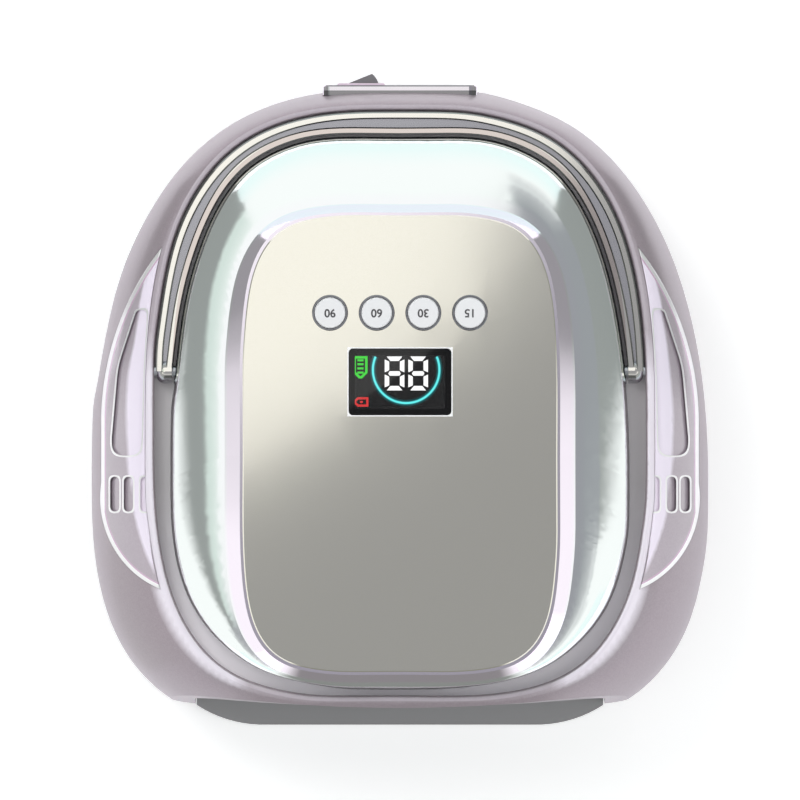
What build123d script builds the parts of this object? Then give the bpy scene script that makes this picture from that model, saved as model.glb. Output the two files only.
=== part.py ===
# Cordless UV nail lamp with a folding handle, in millimetres.
# +Z is up, +Y is the rear with the switch, -Y is the mouth for the hand.
# The origin is on the table, under the middle of the lamp.
from build123d import *
from math import cos, pi, sin
import os

# Levels above the table
foot_height = 3.0
widest_z = 32.0
channel_floor_z = 70.0
shell_top_z = 78.0
plateau_foot_z = 90.0
deck_top_z = 95.0
crown_rise = 3.0

# Moulding walls and clearances
shell_wall = 3.0
cover_wall = 2.2
deck_wall = 2.4
trough_wall = 2.5
liner_wall = 1.6
seat_gap = 0.15
skirt_gap = 0.3
running_gap = 0.05
button_gap = 0.15
hole_gap = 0.3
recess_gap = 0.1
handle_gap = 0.55
handle_inner_gap = 0.95

# How far a cut runs past the piece, and how far one that takes away a whole side
past = 1.0
far = 300.0

# Outline of the shell, seen from above
outline_steps = 7
shell_half_width = 111.1
shell_rear_y = 112.0
shell_front_reach_y = -120.2
shell_tuck = 3.0
shoulder_power = 1.6
brow_y = -110.5
brow_bulge_half = 54.0
brow_low_bulge = 0.1
brow_high_bulge = 3.0
brow_depth = 12.0
shoulder_width = 22.9
channel_half_width = shell_half_width - shoulder_width
channel_rear_y = 103.9
channel_front_y = -106.0
channel_rim = 2.0
channel_rim_round = 1.4
upstand_wall = 2.0

# Mirror cover and its plateau
track_width = 5.7
rim_half_width = channel_half_width - track_width
rim_rear_y = 94.3
rim_front_y = -104.0
dish_side_width = 19.7
plateau_half_width = rim_half_width - dish_side_width
plateau_rear_y = 70.1
plateau_front_y = -101.3
dome_power = 1.8

# Control panel, buttons and display
bevel_side_width = 6.5
panel_half_width = plateau_half_width - bevel_side_width
panel_rear_y = 66.1
panel_front_y = -97.3
panel_edge = 1.0
panel_chamfer = 0.4
crown_radius = 2200.0
button_names = ["90", "60", "30", "15"]
button_pitch = 16.7
button_y = 31.2
button_radius = 5.5
ring_radius = 6.4
ring_stands_proud = 0.3
cap_stands_proud = 0.5
cap_edge = 0.35
ring_edge = 0.2
flange_thick = 0.75
button_travel = 0.5
stem_radius = 1.7
switch_side = 6.0
switch_height = 3.5
switch_well = 1.4
lens_width = 36.7
lens_depth = 23.8
lens_corner = 1.6
lens_thick = 1.6
lens_ledge = 2.2
window_corner = 1.0
display_y = 6.5
module_width = 34.0
module_depth = 22.0
module_corner = 0.5
module_gap = 0.2

# Control board under the deck
board_thick = 1.6
board_width = 96.0
board_depth = 62.0
board_y = 18.0
board_top_z = 86.2
board_corner = 3.0
post_radius = 3.2
board_post_x = 43.0
board_post_y = 26.0

# Hand cavity liner
cavity_side_space = 33.1
cavity_half_width = shell_half_width - cavity_side_space
cavity_rear_y = 66.0
cavity_front_reach_y = -170.0
cavity_top_z = 54.0
cavity_round = 14.0
liner_back_bevel = 9.0
liner_front_gap = 0.2
liner_flange = 6.0
led_radius = 2.8
led_hole_radius = 3.3
led_barrel = 1.9
led_dome = 1.4
led_tip_share = 0.5
roof_led_columns = 5
roof_led_rows = 3
roof_led_pitch_x = 18.0
roof_led_pitch_y = 23.0
roof_led_y = -53.0
wall_led_count = 4
side_led_pitch = 24.0
side_led_y = -33.0
rear_led_pitch = 16.0
wall_led_z = 30.0
led_board_height = 24.0
led_board_margin = 7.0
roof_board_width = 96.0
roof_board_front_y = -103.0
roof_board_rear_y = -18.0
sensor_x = 7.0
sensor_y = -96.0
sensor_radius = 2.4

# Battery pack over the liner
cell_radius = 9.2
cell_length = 65.2
cell_tip = 1.2
cell_tip_radius = 3.0
cell_gap = 0.3
cell_count = 4
cell_pitch = 18.7
pack_y = -45.0
cradle_wall = 1.6
cradle_floor_z = 58.6
cradle_side_height = 11.0
cradle_corner = 2.0
cradle_ear_x = 56.0
cradle_ear_y = 23.0

# Bottom frame, tray and feet
frame_thick = 3.0
frame_gap = 0.3
tray_gap = 0.4
tray_bottom_z = 1.3
tray_flange = 10.0
tray_flange_front_y = -84.0
tray_step = 0.1
tray_top_z = 5.6
lip_front_y = -117.4
lip_flat_half = 48.0
lip_root_y = -110.3
lip_corner_out = 1.5
lip_corner_back = 1.9
lip_overlap = 6.0
reflector_thick = 0.4
reflector_inset = 3.0
magnet_radius = 4.0
frame_magnet_thick = 2.0
tray_magnet_thick = 1.2
magnet_offset = 5.3
magnet_ys = [-45.0, 22.0]
rubber_foot_radius = 5.0
rubber_foot_recess = 0.9
rubber_foot_chamfer = 0.6
rubber_foot_insets = [(13.3, -45.0), (21.2, 73.0)]
tray_foot_radius = 4.0
tray_foot_recess = 0.6
tray_foot_inset = 15.0
tray_foot_ys = [-92.0, 46.0]
shell_boss_insets = [(14.1, 6.0), (32.1, 87.0)]
shell_boss_radius = 4.0

# Screws
screw_radius = 1.45
screw_head_radius = 2.8
screw_head_height = 1.5
screw_hole_radius = 1.5
screw_clear_radius = 1.7
housing_screw_length = 13.0
board_screw_grip = 3.5
cradle_screw_grip = 2.3
power_screw_grip = 5.0
screw_hole_spare = 0.5

# Rear frame, switch and charging socket
rear_plate_half = 27.8
rear_plate_height = 25.0
rear_plate_z = 45.0
rear_plate_face_y = 113.2
rear_plate_back_y = 109.6
rear_plate_recess = 1.1
rear_plate_rim = 1.9
rear_plate_corner = 3.0
rear_plate_inner_corner = 1.5
rear_plate_chamfer = 0.5
rear_pad_depth = 3.0
rear_pad_margin = 2.0
rear_opening_reach = 15.0
switch_x = -14.0
bezel_length = 17.2
bezel_height = 12.0
bezel_proud = 0.8
bezel_chamfer = 0.5
switch_body_length = 14.8
switch_body_height = 10.0
switch_body_depth = 14.0
rocker_radius = 6.5
rocker_face = 3.35
rocker_pivot_y = 112.2
rocker_height = 7.4
rocker_tilt = 22.0
rocker_back = 0.5
rocker_gap = 0.25
rocker_side_gap = 0.3
stub_radius = 1.0
stub_length = 0.45
stub_hole_depth = 0.8
terminal_x = 4.0
terminal_thick = 0.8
terminal_length = 5.0
terminal_width = 4.8
socket_x = 14.0
socket_barrel_radius = 4.0
socket_bore_radius = 2.9
socket_pin_radius = 1.0
socket_bore_depth = 9.0
socket_body_width = 9.0
socket_body_height = 11.0
socket_body_depth = 14.0
socket_gap = 0.2
power_board_width = 56.0
power_board_depth = 27.0
power_post_x = 22.0
power_post_y = 82.0

# Folding handle
pivot_y = 10.3
pivot_z = 75.0
handle_bottom_z = 70.6
handle_top_z = 79.2
handle_groove_width = 2.5
handle_groove_depth = 1.8
handle_edge = 0.5
eye_radius = 4.4
eye_round = 3.0
eye_side_gap = 0.05
pin_radius = 2.0
pin_fit = 0.02
pin_end_gap = 0.2

# Side trims on the shoulders, each place as its distance in from the side of the shell and its Y
wing_proud = 0.6
wing_depth = 1.0
wing_gap = 0.12
wing_top = (29.9, 59.7)
wing_bottom = (31.3, -69.7)
wing_upper_mid = (8.8, 24.0)
wing_side_upper = (3.6, -10.0)
wing_side_lower = (3.6, -30.0)
wing_lower_mid = (10.4, -56.5)
wing_inner_gap = 1.3
wing_edge = 0.4
pocket_corners = [
    (20.6, 33.0, 1.9),
    (16.5, 32.0, 1.9),
    (9.9, 12.2, 40.0),
    (7.6, -13.6, 20.0),
    (7.6, -20.0, 4.0),
    (18.4, -20.0, 4.0),
    (19.1, 9.4, 60.0),
]
pocket_depth = 0.7
grip_insets = [19.7, 13.7, 8.7]
grip_width = 3.4
grip_depth = 0.9
grip_front_y = -40.1
grip_rear_y = -27.5


class Egg:
    """Closed outline: two half superellipses that meet where it is widest."""

    def __init__(self, half_width, widest_y, rear_y, front_y, rear_powers, front_powers):
        self.sizes = [half_width, widest_y, rear_y, front_y]
        self.powers = [*rear_powers, *front_powers]

    def inset(self, distance):
        """The same outline moved inwards, or outwards for a negative distance."""
        half_width, widest_y, rear_y, front_y = self.sizes
        return Egg(half_width - distance, widest_y, rear_y - distance, front_y + distance,
                   self.powers[:2], self.powers[2:])

    def blend(self, other, share):
        """The outline that lies the given share of the way to the other one."""
        sizes = [a + (b - a) * share for a, b in zip(self.sizes, other.sizes)]
        powers = [a + (b - a) * share for a, b in zip(self.powers, other.powers)]
        return Egg(*sizes, powers[:2], powers[2:])

    def half_width_at(self, y):
        """Half of the outline's width at a place along Y."""
        half_width, widest_y, rear_y, front_y = self.sizes
        tip_y = rear_y if y > widest_y else front_y
        side_power, end_power = self.powers[:2] if y > widest_y else self.powers[2:]
        reach = abs((y - widest_y) / (tip_y - widest_y))
        return half_width * (1 - reach ** end_power) ** (1 / side_power)

    def wire(self, z):
        """The outline as four splines at a height."""
        half_width, widest_y, rear_y, front_y = self.sizes
        quarters = [
            (1, rear_y, self.powers[:2], False),
            (-1, rear_y, self.powers[:2], True),
            (-1, front_y, self.powers[2:], False),
            (1, front_y, self.powers[2:], True),
        ]
        edges = []
        for side, tip_y, (side_power, end_power), inwards in quarters:
            points = []
            for step in range(outline_steps + 1):
                angle = pi / 2 * step / outline_steps
                x = side * half_width * max(cos(angle), 0.0) ** (2 / side_power)
                y = widest_y + (tip_y - widest_y) * sin(angle) ** (2 / end_power)
                points.append((x if step < outline_steps else 0.0, y, z))
            along_y = (0, 1 if tip_y > widest_y else -1, 0)
            along_x = (-side, 0, 0)
            tangents = [along_y, along_x]
            if inwards:
                points.reverse()
                tangents = [(side, 0, 0), (0, -along_y[1], 0)]
            edges.append(Spline(*points, tangents=tangents).edge())
        return Wire(edges, sequenced=True)

    def face(self, z=0.0):
        return Face(self.wire(z))

    def prism(self, bottom, top):
        """The outline raised from one height to another."""
        return Solid.extrude(self.face(bottom), Vector(0, 0, top - bottom))


silhouette = Egg(shell_half_width, -30, shell_rear_y, shell_front_reach_y, (2.8, 2.2), (3.8, 2.6))
channel = Egg(channel_half_width, -15, channel_rear_y, channel_front_y, (3.0, 3.0), (4.0, 2.6))
shell_top = channel.inset(-channel_rim)
rim = Egg(rim_half_width, -28, rim_rear_y, rim_front_y, (4.0, 2.2), (2.8, 2.8))
plateau = Egg(plateau_half_width, -20, plateau_rear_y, plateau_front_y, (4.4, 4.0), (4.4, 4.2))
panel = Egg(panel_half_width, -20, panel_rear_y, panel_front_y, (4.8, 4.6), (4.8, 4.8))
cavity = Egg(cavity_half_width, -30, cavity_rear_y, cavity_front_reach_y, (3.4, 2.8), (3.4, 3.0))
upstand = rim.inset(cover_wall + skirt_gap)
inside_upstand = upstand.inset(upstand_wall)


def box(x_low, x_high, y_low, y_high, z_low, z_high):
    """Block between two corners."""
    centre = ((x_low + x_high) / 2, (y_low + y_high) / 2, (z_low + z_high) / 2)
    return Pos(*centre) * Box(x_high - x_low, y_high - y_low, z_high - z_low)


def in_front_of(y):
    """All the space in front of a place along Y."""
    return box(-far, far, y - far, y, -far, far)


def rod(x, y, z_low, z_high, radius):
    """Upright cylinder."""
    return Pos(x, y, (z_low + z_high) / 2) * Cylinder(radius, z_high - z_low)


def rod_x(x_low, x_high, y, z, radius):
    """Cylinder along X."""
    return Pos((x_low + x_high) / 2, y, z) * Rot(0, 90, 0) * Cylinder(radius, abs(x_high - x_low))


def rod_y(x, y_low, y_high, z, radius):
    """Cylinder along Y."""
    return Pos(x, (y_low + y_high) / 2, z) * Rot(90, 0, 0) * Cylinder(radius, abs(y_high - y_low))


def mirrored(places):
    """Each place and its twin on the other side of the lamp."""
    return [(side * x, y) for x, y in places for side in (1, -1)]


def beside_shell(insets):
    """Places on both sides, measured in from the outline of the shell."""
    return mirrored([(silhouette.half_width_at(y) - inset, y) for inset, y in insets])


def beside_cavity(inset, ys):
    """Places on both sides, measured in from the outline of the hand cavity."""
    return mirrored([(cavity.half_width_at(y) - inset, y) for y in ys])


def from_side(points):
    """Places on the right, measured in from the widest place of the shell."""
    return [(shell_half_width - inset, y) for inset, y in points]


def group(solids):
    """Separate solids kept together as one piece."""
    return Compound(children=[one for item in solids for one in item.solids()])


def slab(width, depth, z_low, z_high, corner, x=0.0, y=0.0):
    """Plate with rounded corners."""
    outline = RectangleRounded(width, depth, corner)
    return Pos(x, y, z_low) * extrude(outline, z_high - z_low)


def shell_outline(z, inset=0.0):
    """Outline of the shell at a height, moved inwards by an inset."""
    if z <= widest_z:
        tuck = shell_tuck * ((widest_z - z) / (widest_z - foot_height)) ** 2
        return silhouette.inset(tuck + inset)
    return silhouette.blend(shell_top, shoulder_share(z)).inset(inset)


def shoulder_share(z):
    """How far the shoulder has turned in at a height, from 0 to 1."""
    climb = max(z - widest_z, 0.0) / (shell_top_z - widest_z)
    return 1 - (1 - climb ** shoulder_power) ** (1 / shoulder_power)


def shell_skin(depth):
    """Solid inside the smooth surface that lies a depth under the shell's own surface."""
    levels = [foot_height, 18.0, widest_z, 46.0, 58.0, 68.0, 75.0, shell_top_z]
    return Solid.make_loft([shell_outline(z, depth).wire(z - depth * shoulder_share(z)) for z in levels])


def shell_hollow():
    """The room inside the shell, with straight flanks because nobody sees them."""
    levels = [foot_height, widest_z, 58.0, 70.0, shell_top_z]
    wires = [shell_outline(z, shell_wall).wire(z - shell_wall * shoulder_share(z)) for z in levels]
    return Solid.make_loft(wires, ruled=True)


def brow_cut(depth):
    """All that lies in front of the brow, which curves back more towards its top."""
    reach = 1.5 * shell_half_width
    front = brow_y + depth
    wires = []
    for z, bulge in ((0.0, brow_low_bulge), (shell_top_z + 2, brow_high_bulge)):
        end = front + bulge * (reach / brow_bulge_half) ** 2
        arc = ThreePointArc((-reach, end, z), (0, front, z), (reach, end, z))
        sides = Polyline((reach, end, z), (reach, front - reach, z), (-reach, front - reach, z), (-reach, end, z))
        wires.append(Wire([arc.edge(), *sides.edges()]))
    return Solid.make_loft(wires, ruled=True)


def shell_bosses():
    """Screw posts that hang from the shoulder down to the bottom frame."""
    low = foot_height + frame_thick + seat_gap
    return [rod(x, y, low, shell_top_z - shell_wall, shell_boss_radius) for x, y in beside_shell(shell_boss_insets)]


def mouth_half_width():
    return cavity.half_width_at(brow_y + shell_wall)


def channel_rim_flare():
    """What is cut away to round the inner edge of the channel's rim."""
    wires = []
    for turn in (0, pi / 4, pi / 2):
        out = channel_rim_round * (1 - cos(turn))
        down = channel_rim_round * (1 - sin(turn))
        wires.append(channel.inset(-out).wire(shell_top_z - down))
    return Solid.make_loft(wires)


def rear_openings():
    """Cut-outs for the switch and the charging socket, through the shell and the rear frame."""
    slot = Pos(switch_x, shell_rear_y, rear_plate_z) * Box(switch_body_length + 2 * seat_gap,
                                                           2 * rear_opening_reach,
                                                           switch_body_height + 2 * seat_gap)
    bore = rod_y(socket_x, shell_rear_y - rear_opening_reach, shell_rear_y + rear_opening_reach,
                 rear_plate_z, socket_barrel_radius + seat_gap)
    return [slot, bore]


def upper_housing():
    outer = shell_skin(0.0)
    shell = outer - (shell_hollow() - brow_cut(shell_wall))
    trough_floor = channel_floor_z - trough_wall
    trough = channel.inset(-trough_wall).prism(trough_floor, shell_top_z)
    pad_half = rear_plate_half + rear_pad_margin
    pad_rise = rear_plate_height / 2 + rear_pad_margin
    rear_pad = box(-pad_half, pad_half, rear_plate_back_y - rear_pad_depth, shell_rear_y,
                   rear_plate_z - pad_rise, rear_plate_z + pad_rise)
    for extra in [trough, rear_pad, *shell_bosses()]:
        shell += extra & outer
    shell -= channel.prism(channel_floor_z, shell_top_z + past) - upstand.prism(channel_floor_z, shell_top_z - past)
    shell -= channel_rim_flare() - channel.prism(channel_floor_z, shell_top_z)
    shell -= inside_upstand.prism(trough_floor - past, shell_top_z + past)
    shell -= brow_cut(0.0)
    half = mouth_half_width()
    mouth = Plane.XZ * Pos(0, cavity_top_z / 2) * Rectangle(half * 2, cavity_top_z)
    mouth = fillet(mouth.vertices().group_by(Axis.Z)[-1], cavity_round)
    shell -= Pos(0, brow_y + shell_wall + brow_depth, 0) * extrude(mouth, 2 * brow_depth)
    shell -= vault_back(liner_wall + seat_gap, 0) - brow_cut(shell_wall)
    slot_half = rear_plate_half + seat_gap
    slot_rise = rear_plate_height / 2 + seat_gap
    shell -= box(-slot_half, slot_half, rear_plate_back_y, shell_rear_y + past,
                 rear_plate_z - slot_rise, rear_plate_z + slot_rise)
    for opening in rear_openings():
        shell -= opening
    for x, y in beside_shell(shell_boss_insets):
        shell -= rod(x, y, 0, foot_height + screw_head_height + housing_screw_length + past, screw_hole_radius)
    for side in (1, -1):
        pin_length = channel_half_width + trough_wall
        shell -= rod_x(0, side * pin_length, pivot_y, pivot_z, pin_radius + pin_fit)
        shell -= wing_region(side, wing_gap) - shell_skin(wing_depth + wing_gap)
    return shell


def wing_region(side, grow):
    """Crescent seen from above, as an upright block."""
    top, upper_mid, side_upper, side_lower, lower_mid, bottom = from_side(
        [wing_top, wing_upper_mid, wing_side_upper, wing_side_lower, wing_lower_mid, wing_bottom])
    rear_arc = ThreePointArc(top, upper_mid, side_upper)
    straight = Line(side_upper, side_lower)
    front_arc = ThreePointArc(side_lower, lower_mid, bottom)
    closing = Line(bottom, top)
    face = make_face(Wire([rear_arc.edge(), straight.edge(), front_arc.edge(), closing.edge()]))
    if grow:
        face = offset(face, grow, kind=Kind.INTERSECTION)
    crescent = extrude(Pos(0, 0, widest_z) * face, shell_top_z - widest_z + 4)
    crescent -= shell_top.inset(-wing_inner_gap + grow).prism(widest_z - 1, shell_top_z + 5)
    return crescent if side > 0 else mirror(crescent, about=Plane.YZ)


def grip_marks(side):
    """Three short slots sunk side by side into the trim."""
    length = grip_rear_y - grip_front_y
    middle = (grip_rear_y + grip_front_y) / 2
    marks = [slab(grip_width, length, widest_z, shell_top_z + 3, grip_width / 2 - 0.01,
                  side * (shell_half_width - inset), middle) for inset in grip_insets]
    return [mark - shell_skin(grip_depth - wing_proud) for mark in marks]


def pocket_face(side):
    """Long pocket seen from above, each of its corners with a radius of its own."""
    corners = [(side * (shell_half_width - inset), y) for inset, y, _ in pocket_corners]
    face = make_face(Polyline(*corners, close=True))
    for (x, y), (_, _, radius) in zip(corners, pocket_corners):
        corner = face.vertices().sort_by_distance((x, y, 0))[0]
        face = fillet(corner, radius)
    return face


def side_wing(side):
    skin = wing_region(side, 0.0) & shell_skin(-wing_proud)
    skin -= shell_skin(wing_depth)
    upper_face = skin.faces().sort_by(SortBy.AREA)[-2:].sort_by(Axis.Z)[-1]
    skin = chamfer(upper_face.edges(), wing_edge)
    pocket = extrude(Pos(0, 0, widest_z) * pocket_face(side), shell_top_z)
    skin -= pocket - shell_skin(pocket_depth - wing_proud)
    for mark in grip_marks(side):
        skin -= mark
    return skin


def dome(depth, climbs, ruled):
    """Curved band of the cover between its rim and the plateau, a depth under its surface."""
    wires = []
    for climb in climbs:
        share = 1 - (1 - climb ** dome_power) ** (1 / dome_power)
        z = shell_top_z + climb * (plateau_foot_z - shell_top_z)
        wires.append(rim.blend(plateau, share).inset(depth).wire(z - depth))
    return Solid.make_loft(wires, ruled=ruled)


def top_cover():
    plateau_edge = panel.inset(-panel_edge)
    body = rim.prism(channel_floor_z, shell_top_z) + dome(0.0, (0.0, 0.3, 0.6, 0.85, 1.0), ruled=False)
    body += Solid.make_loft([plateau.wire(plateau_foot_z), plateau_edge.wire(deck_top_z)])
    inner = rim.inset(cover_wall).prism(channel_floor_z - past, shell_top_z - cover_wall)
    inner += dome(cover_wall, (0.0, 0.15, 0.5, 0.85, 1.0), ruled=True)
    deck_bottom = deck_top_z - deck_wall
    inner += Solid.make_loft([plateau.inset(cover_wall).wire(plateau_foot_z - cover_wall),
                              plateau_edge.inset(cover_wall).wire(deck_bottom)])
    cover = body - inner
    for x, y in board_posts():
        cover += rod(x, y, board_top_z, deck_bottom + past, post_radius)
        cover -= rod(x, y, board_top_z - past, board_top_z + board_screw_grip + screw_hole_spare, screw_hole_radius)
    for x in button_places():
        cover -= rod(x, button_y, deck_bottom - past, deck_top_z + past, ring_radius + hole_gap)
    cover -= slab(lens_width - lens_ledge, lens_depth - lens_ledge, deck_bottom - past, deck_top_z + past,
                  window_corner, 0, display_y)
    for side in (1, -1):
        edge_x = side * rim.half_width_at(pivot_y)
        notch_half = pin_radius + recess_gap
        cover -= box(edge_x - 2 * cover_wall, edge_x + 2 * cover_wall, pivot_y - notch_half, pivot_y + notch_half,
                     channel_floor_z - past, pivot_z + pin_radius + running_gap)
    return cover


def board_posts():
    """Places of the four posts that carry the control board."""
    return mirrored([(board_post_x, board_y + board_post_y), (board_post_x, board_y - board_post_y)])


def crown():
    """Large ball whose top is the crowned face of the panel."""
    middle_y = (panel_front_y + panel_rear_y) / 2
    return Pos(0, middle_y, deck_top_z + crown_rise - crown_radius) * Rot(90, 0, 0) * Sphere(crown_radius)


def crown_z(x, y):
    """Height of the crowned face over a place."""
    middle_y = (panel_front_y + panel_rear_y) / 2
    return deck_top_z + crown_rise - (x ** 2 + (y - middle_y) ** 2) / (2 * crown_radius)


def button_places():
    return [(place - (len(button_names) - 1) / 2) * button_pitch for place in range(len(button_names))]


def control_panel():
    over = deck_top_z + crown_rise + past
    plate = panel.prism(deck_top_z, over) & crown()
    plate = chamfer(plate.faces().sort_by(Axis.Z)[-1].edges(), panel_chamfer)
    for x in button_places():
        plate -= rod(x, button_y, deck_top_z - past, over, ring_radius + running_gap)
    plate -= slab(lens_width + seat_gap, lens_depth + seat_gap, lens_floor_z(), over, lens_corner, 0, display_y)
    plate -= slab(lens_width - 2 * lens_ledge, lens_depth - 2 * lens_ledge, deck_top_z - past, over, window_corner,
                  0, display_y)
    return plate


def lens_floor_z():
    return crown_z(lens_width / 2, display_y) - lens_thick


def display_lens():
    glass = slab(lens_width, lens_depth, lens_floor_z(), deck_top_z + crown_rise + past, lens_corner, 0, display_y)
    return glass & crown()


def display_module():
    body = slab(module_width, module_depth, board_top_z, deck_top_z - deck_wall - hole_gap, module_corner,
                0, display_y)
    face_inset = 2 * (lens_ledge + module_gap)
    face = slab(lens_width - face_inset, lens_depth - face_inset, board_top_z, lens_floor_z() - module_gap,
                module_corner, 0, display_y)
    return body + face


def button_rings():
    rings = []
    for x in button_places():
        top = crown_z(x, button_y) + ring_stands_proud
        ring = rod(x, button_y, deck_top_z, top, ring_radius)
        ring -= rod(x, button_y, deck_top_z - past, top + past, button_radius + button_gap)
        rings.append(chamfer(ring.edges().group_by(Axis.Z)[-1], ring_edge))
    return group(rings)


def button_cap(x):
    """Round cap with a retaining flange below and the stem that presses its switch."""
    top = crown_z(x, button_y) + cap_stands_proud
    flange_top = deck_top_z - running_gap
    cap = rod(x, button_y, flange_top - flange_thick, top, button_radius)
    cap = chamfer(cap.edges().group_by(Axis.Z)[-1], cap_edge)
    cap += rod(x, button_y, flange_top - flange_thick, flange_top, ring_radius - recess_gap)
    stem_end = board_top_z + switch_height - switch_well + button_travel + recess_gap
    return cap + rod(x, button_y, stem_end, flange_top, stem_radius)


def tact_switches():
    switches = []
    for x in button_places():
        block = Pos(x, button_y, board_top_z + switch_height / 2) * Box(switch_side, switch_side, switch_height)
        well_floor = board_top_z + switch_height - switch_well
        switches.append(block - rod(x, button_y, well_floor, deck_top_z, stem_radius + recess_gap))
    return group(switches)


def control_board():
    low = board_top_z - board_thick
    board = slab(board_width, board_depth, low, board_top_z, board_corner, 0, board_y)
    for x, y in board_posts():
        board -= rod(x, y, low - past, board_top_z + past, screw_clear_radius)
    return board


def screw(x, y, head_z, length, up=True):
    """Pan head screw: the head's bearing face is at head_z, the shank runs up or down from it."""
    way = 1 if up else -1
    shank_z = sorted([head_z, head_z + way * length])
    head_span = sorted([head_z, head_z - way * screw_head_height])
    head = rod(x, y, *head_span, screw_head_radius)
    return head + rod(x, y, *shank_z, screw_radius)


def board_screws():
    """Four that hold the control board up to the deck, two that hold the power board down."""
    low = board_top_z - board_thick
    screws = [screw(x, y, low, board_thick + board_screw_grip) for x, y in board_posts()]
    top = power_board_z() + board_thick
    for x, y in mirrored([(power_post_x, power_post_y)]):
        screws.append(screw(x, y, top, board_thick + power_screw_grip, up=False))
    return group(screws)


def power_board_z():
    return rear_plate_z - socket_body_height / 2 - board_thick


def vault(inset, low):
    """Rounded space of the hand cavity, moved in by an inset."""
    space = cavity.inset(inset).prism(low, cavity_top_z - inset)
    top_edges = space.faces().sort_by(Axis.Z)[-1].edges()
    return space.fillet(cavity_round - inset, top_edges)


def vault_back(grow, low):
    """The vault grown outwards, with a plain bevel along its top edge, which is hidden."""
    flank = cavity.inset(-grow)
    top = cavity_top_z + grow
    bevelled = flank.inset(liner_back_bevel)
    return Solid.make_loft([flank.wire(low), flank.wire(top - liner_back_bevel), bevelled.wire(top)], ruled=True)


def roof_led_places():
    columns = [(i - (roof_led_columns - 1) / 2) * roof_led_pitch_x for i in range(roof_led_columns)]
    rows = [roof_led_y + (i - (roof_led_rows - 1) / 2) * roof_led_pitch_y for i in range(roof_led_rows)]
    return [(x, y) for y in rows for x in columns]


def side_led_places():
    return [side_led_y + (i - (wall_led_count - 1) / 2) * side_led_pitch for i in range(wall_led_count)]


def rear_led_places():
    return [(i - (wall_led_count - 1) / 2) * rear_led_pitch for i in range(wall_led_count)]


def inner_reflector():
    base = foot_height + frame_thick
    liner = vault_back(liner_wall, base)
    flange = cavity.inset(-liner_wall - liner_flange).prism(base, base + liner_wall)
    liner += flange - in_front_of(tray_flange_front_y)
    liner -= vault(0.0, base - past)
    liner -= brow_cut(shell_wall + liner_front_gap)
    roof = cavity_top_z + liner_wall
    for x, y in roof_led_places():
        liner -= rod(x, y, cavity_top_z - past, roof + past, led_hole_radius)
    for x, y in mirrored([(sensor_x, sensor_y)]):
        liner -= rod(x, y, cavity_top_z - past, roof + past, sensor_radius + hole_gap)
    reach = 4 * liner_wall
    for y in side_led_places():
        for side in (1, -1):
            liner -= rod_x(side * (cavity_half_width - reach), side * (cavity_half_width + reach), y, wall_led_z,
                           led_hole_radius)
    for x in rear_led_places():
        liner -= rod_y(x, cavity_rear_y - reach, cavity_rear_y + reach, wall_led_z, led_hole_radius)
    for x, y in cradle_places():
        liner += rod(x, y, roof - liner_wall / 2, cradle_floor_z, post_radius)
        liner -= rod(x, y, roof, cradle_floor_z + past, screw_hole_radius)
    return liner


def led_back():
    """How far the LED boards lie behind the inner face of the liner."""
    return liner_wall + hole_gap


def led_boards():
    """Aluminium boards behind the roof, the side walls and the rear wall of the liner."""
    roof_low = cavity_top_z + led_back()
    roof = box(-roof_board_width / 2, roof_board_width / 2, roof_board_front_y, roof_board_rear_y,
               roof_low, roof_low + board_thick)
    z_low = wall_led_z - led_board_height / 2
    z_high = wall_led_z + led_board_height / 2
    side_x = cavity_half_width + led_back()
    side_half = side_led_pitch * (wall_led_count - 1) / 2 + led_board_margin
    right = box(side_x, side_x + board_thick, side_led_y - side_half, side_led_y + side_half, z_low, z_high)
    left = mirror(right, about=Plane.YZ)
    rear_y = cavity_rear_y + led_back()
    rear_half = rear_led_pitch * (wall_led_count - 1) / 2 + led_board_margin
    rear = box(-rear_half, rear_half, rear_y, rear_y + board_thick, z_low, z_high)
    return group([roof, left, right, rear])


def led_lens(radius=led_radius):
    """LED that points down, with its back at the origin and a blunt cone in front."""
    barrel = rod(0, 0, -led_barrel, 0, radius)
    return barrel + Pos(0, 0, -led_barrel - led_dome / 2) * Cone(led_tip_share * radius, radius, led_dome)


def led_lenses():
    lens = led_lens()
    lenses = [Pos(x, y, cavity_top_z + led_back()) * lens for x, y in roof_led_places()]
    for y in side_led_places():
        for side in (1, -1):
            back_x = side * (cavity_half_width + led_back())
            lenses.append(Pos(back_x, y, wall_led_z) * Rot(0, side * 90, 0) * lens)
    for x in rear_led_places():
        lenses.append(Pos(x, cavity_rear_y + led_back(), wall_led_z) * Rot(-90, 0, 0) * lens)
    return group(lenses)


def hand_sensors():
    """Infra-red emitter and receiver in the roof just inside the mouth."""
    eye = led_lens(sensor_radius)
    return group([Pos(x, y, cavity_top_z + led_back()) * eye for x, y in mirrored([(sensor_x, sensor_y)])])


def cradle_places():
    return mirrored([(cradle_ear_x, pack_y - cradle_ear_y), (cradle_ear_x, pack_y + cradle_ear_y)])


def pack_half_width():
    return cell_pitch * (cell_count - 1) / 2 + cell_radius + cell_gap


def battery_cells():
    z = cradle_floor_z + cradle_wall + cell_gap + cell_radius
    cells = []
    for i in range(cell_count):
        x = (i - (cell_count - 1) / 2) * cell_pitch
        cell = rod_y(x, pack_y - cell_length / 2, pack_y + cell_length / 2 - cell_tip, z, cell_radius)
        cells.append(cell + rod_y(x, pack_y, pack_y + cell_length / 2, z, cell_tip_radius))
    return group(cells)


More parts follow.
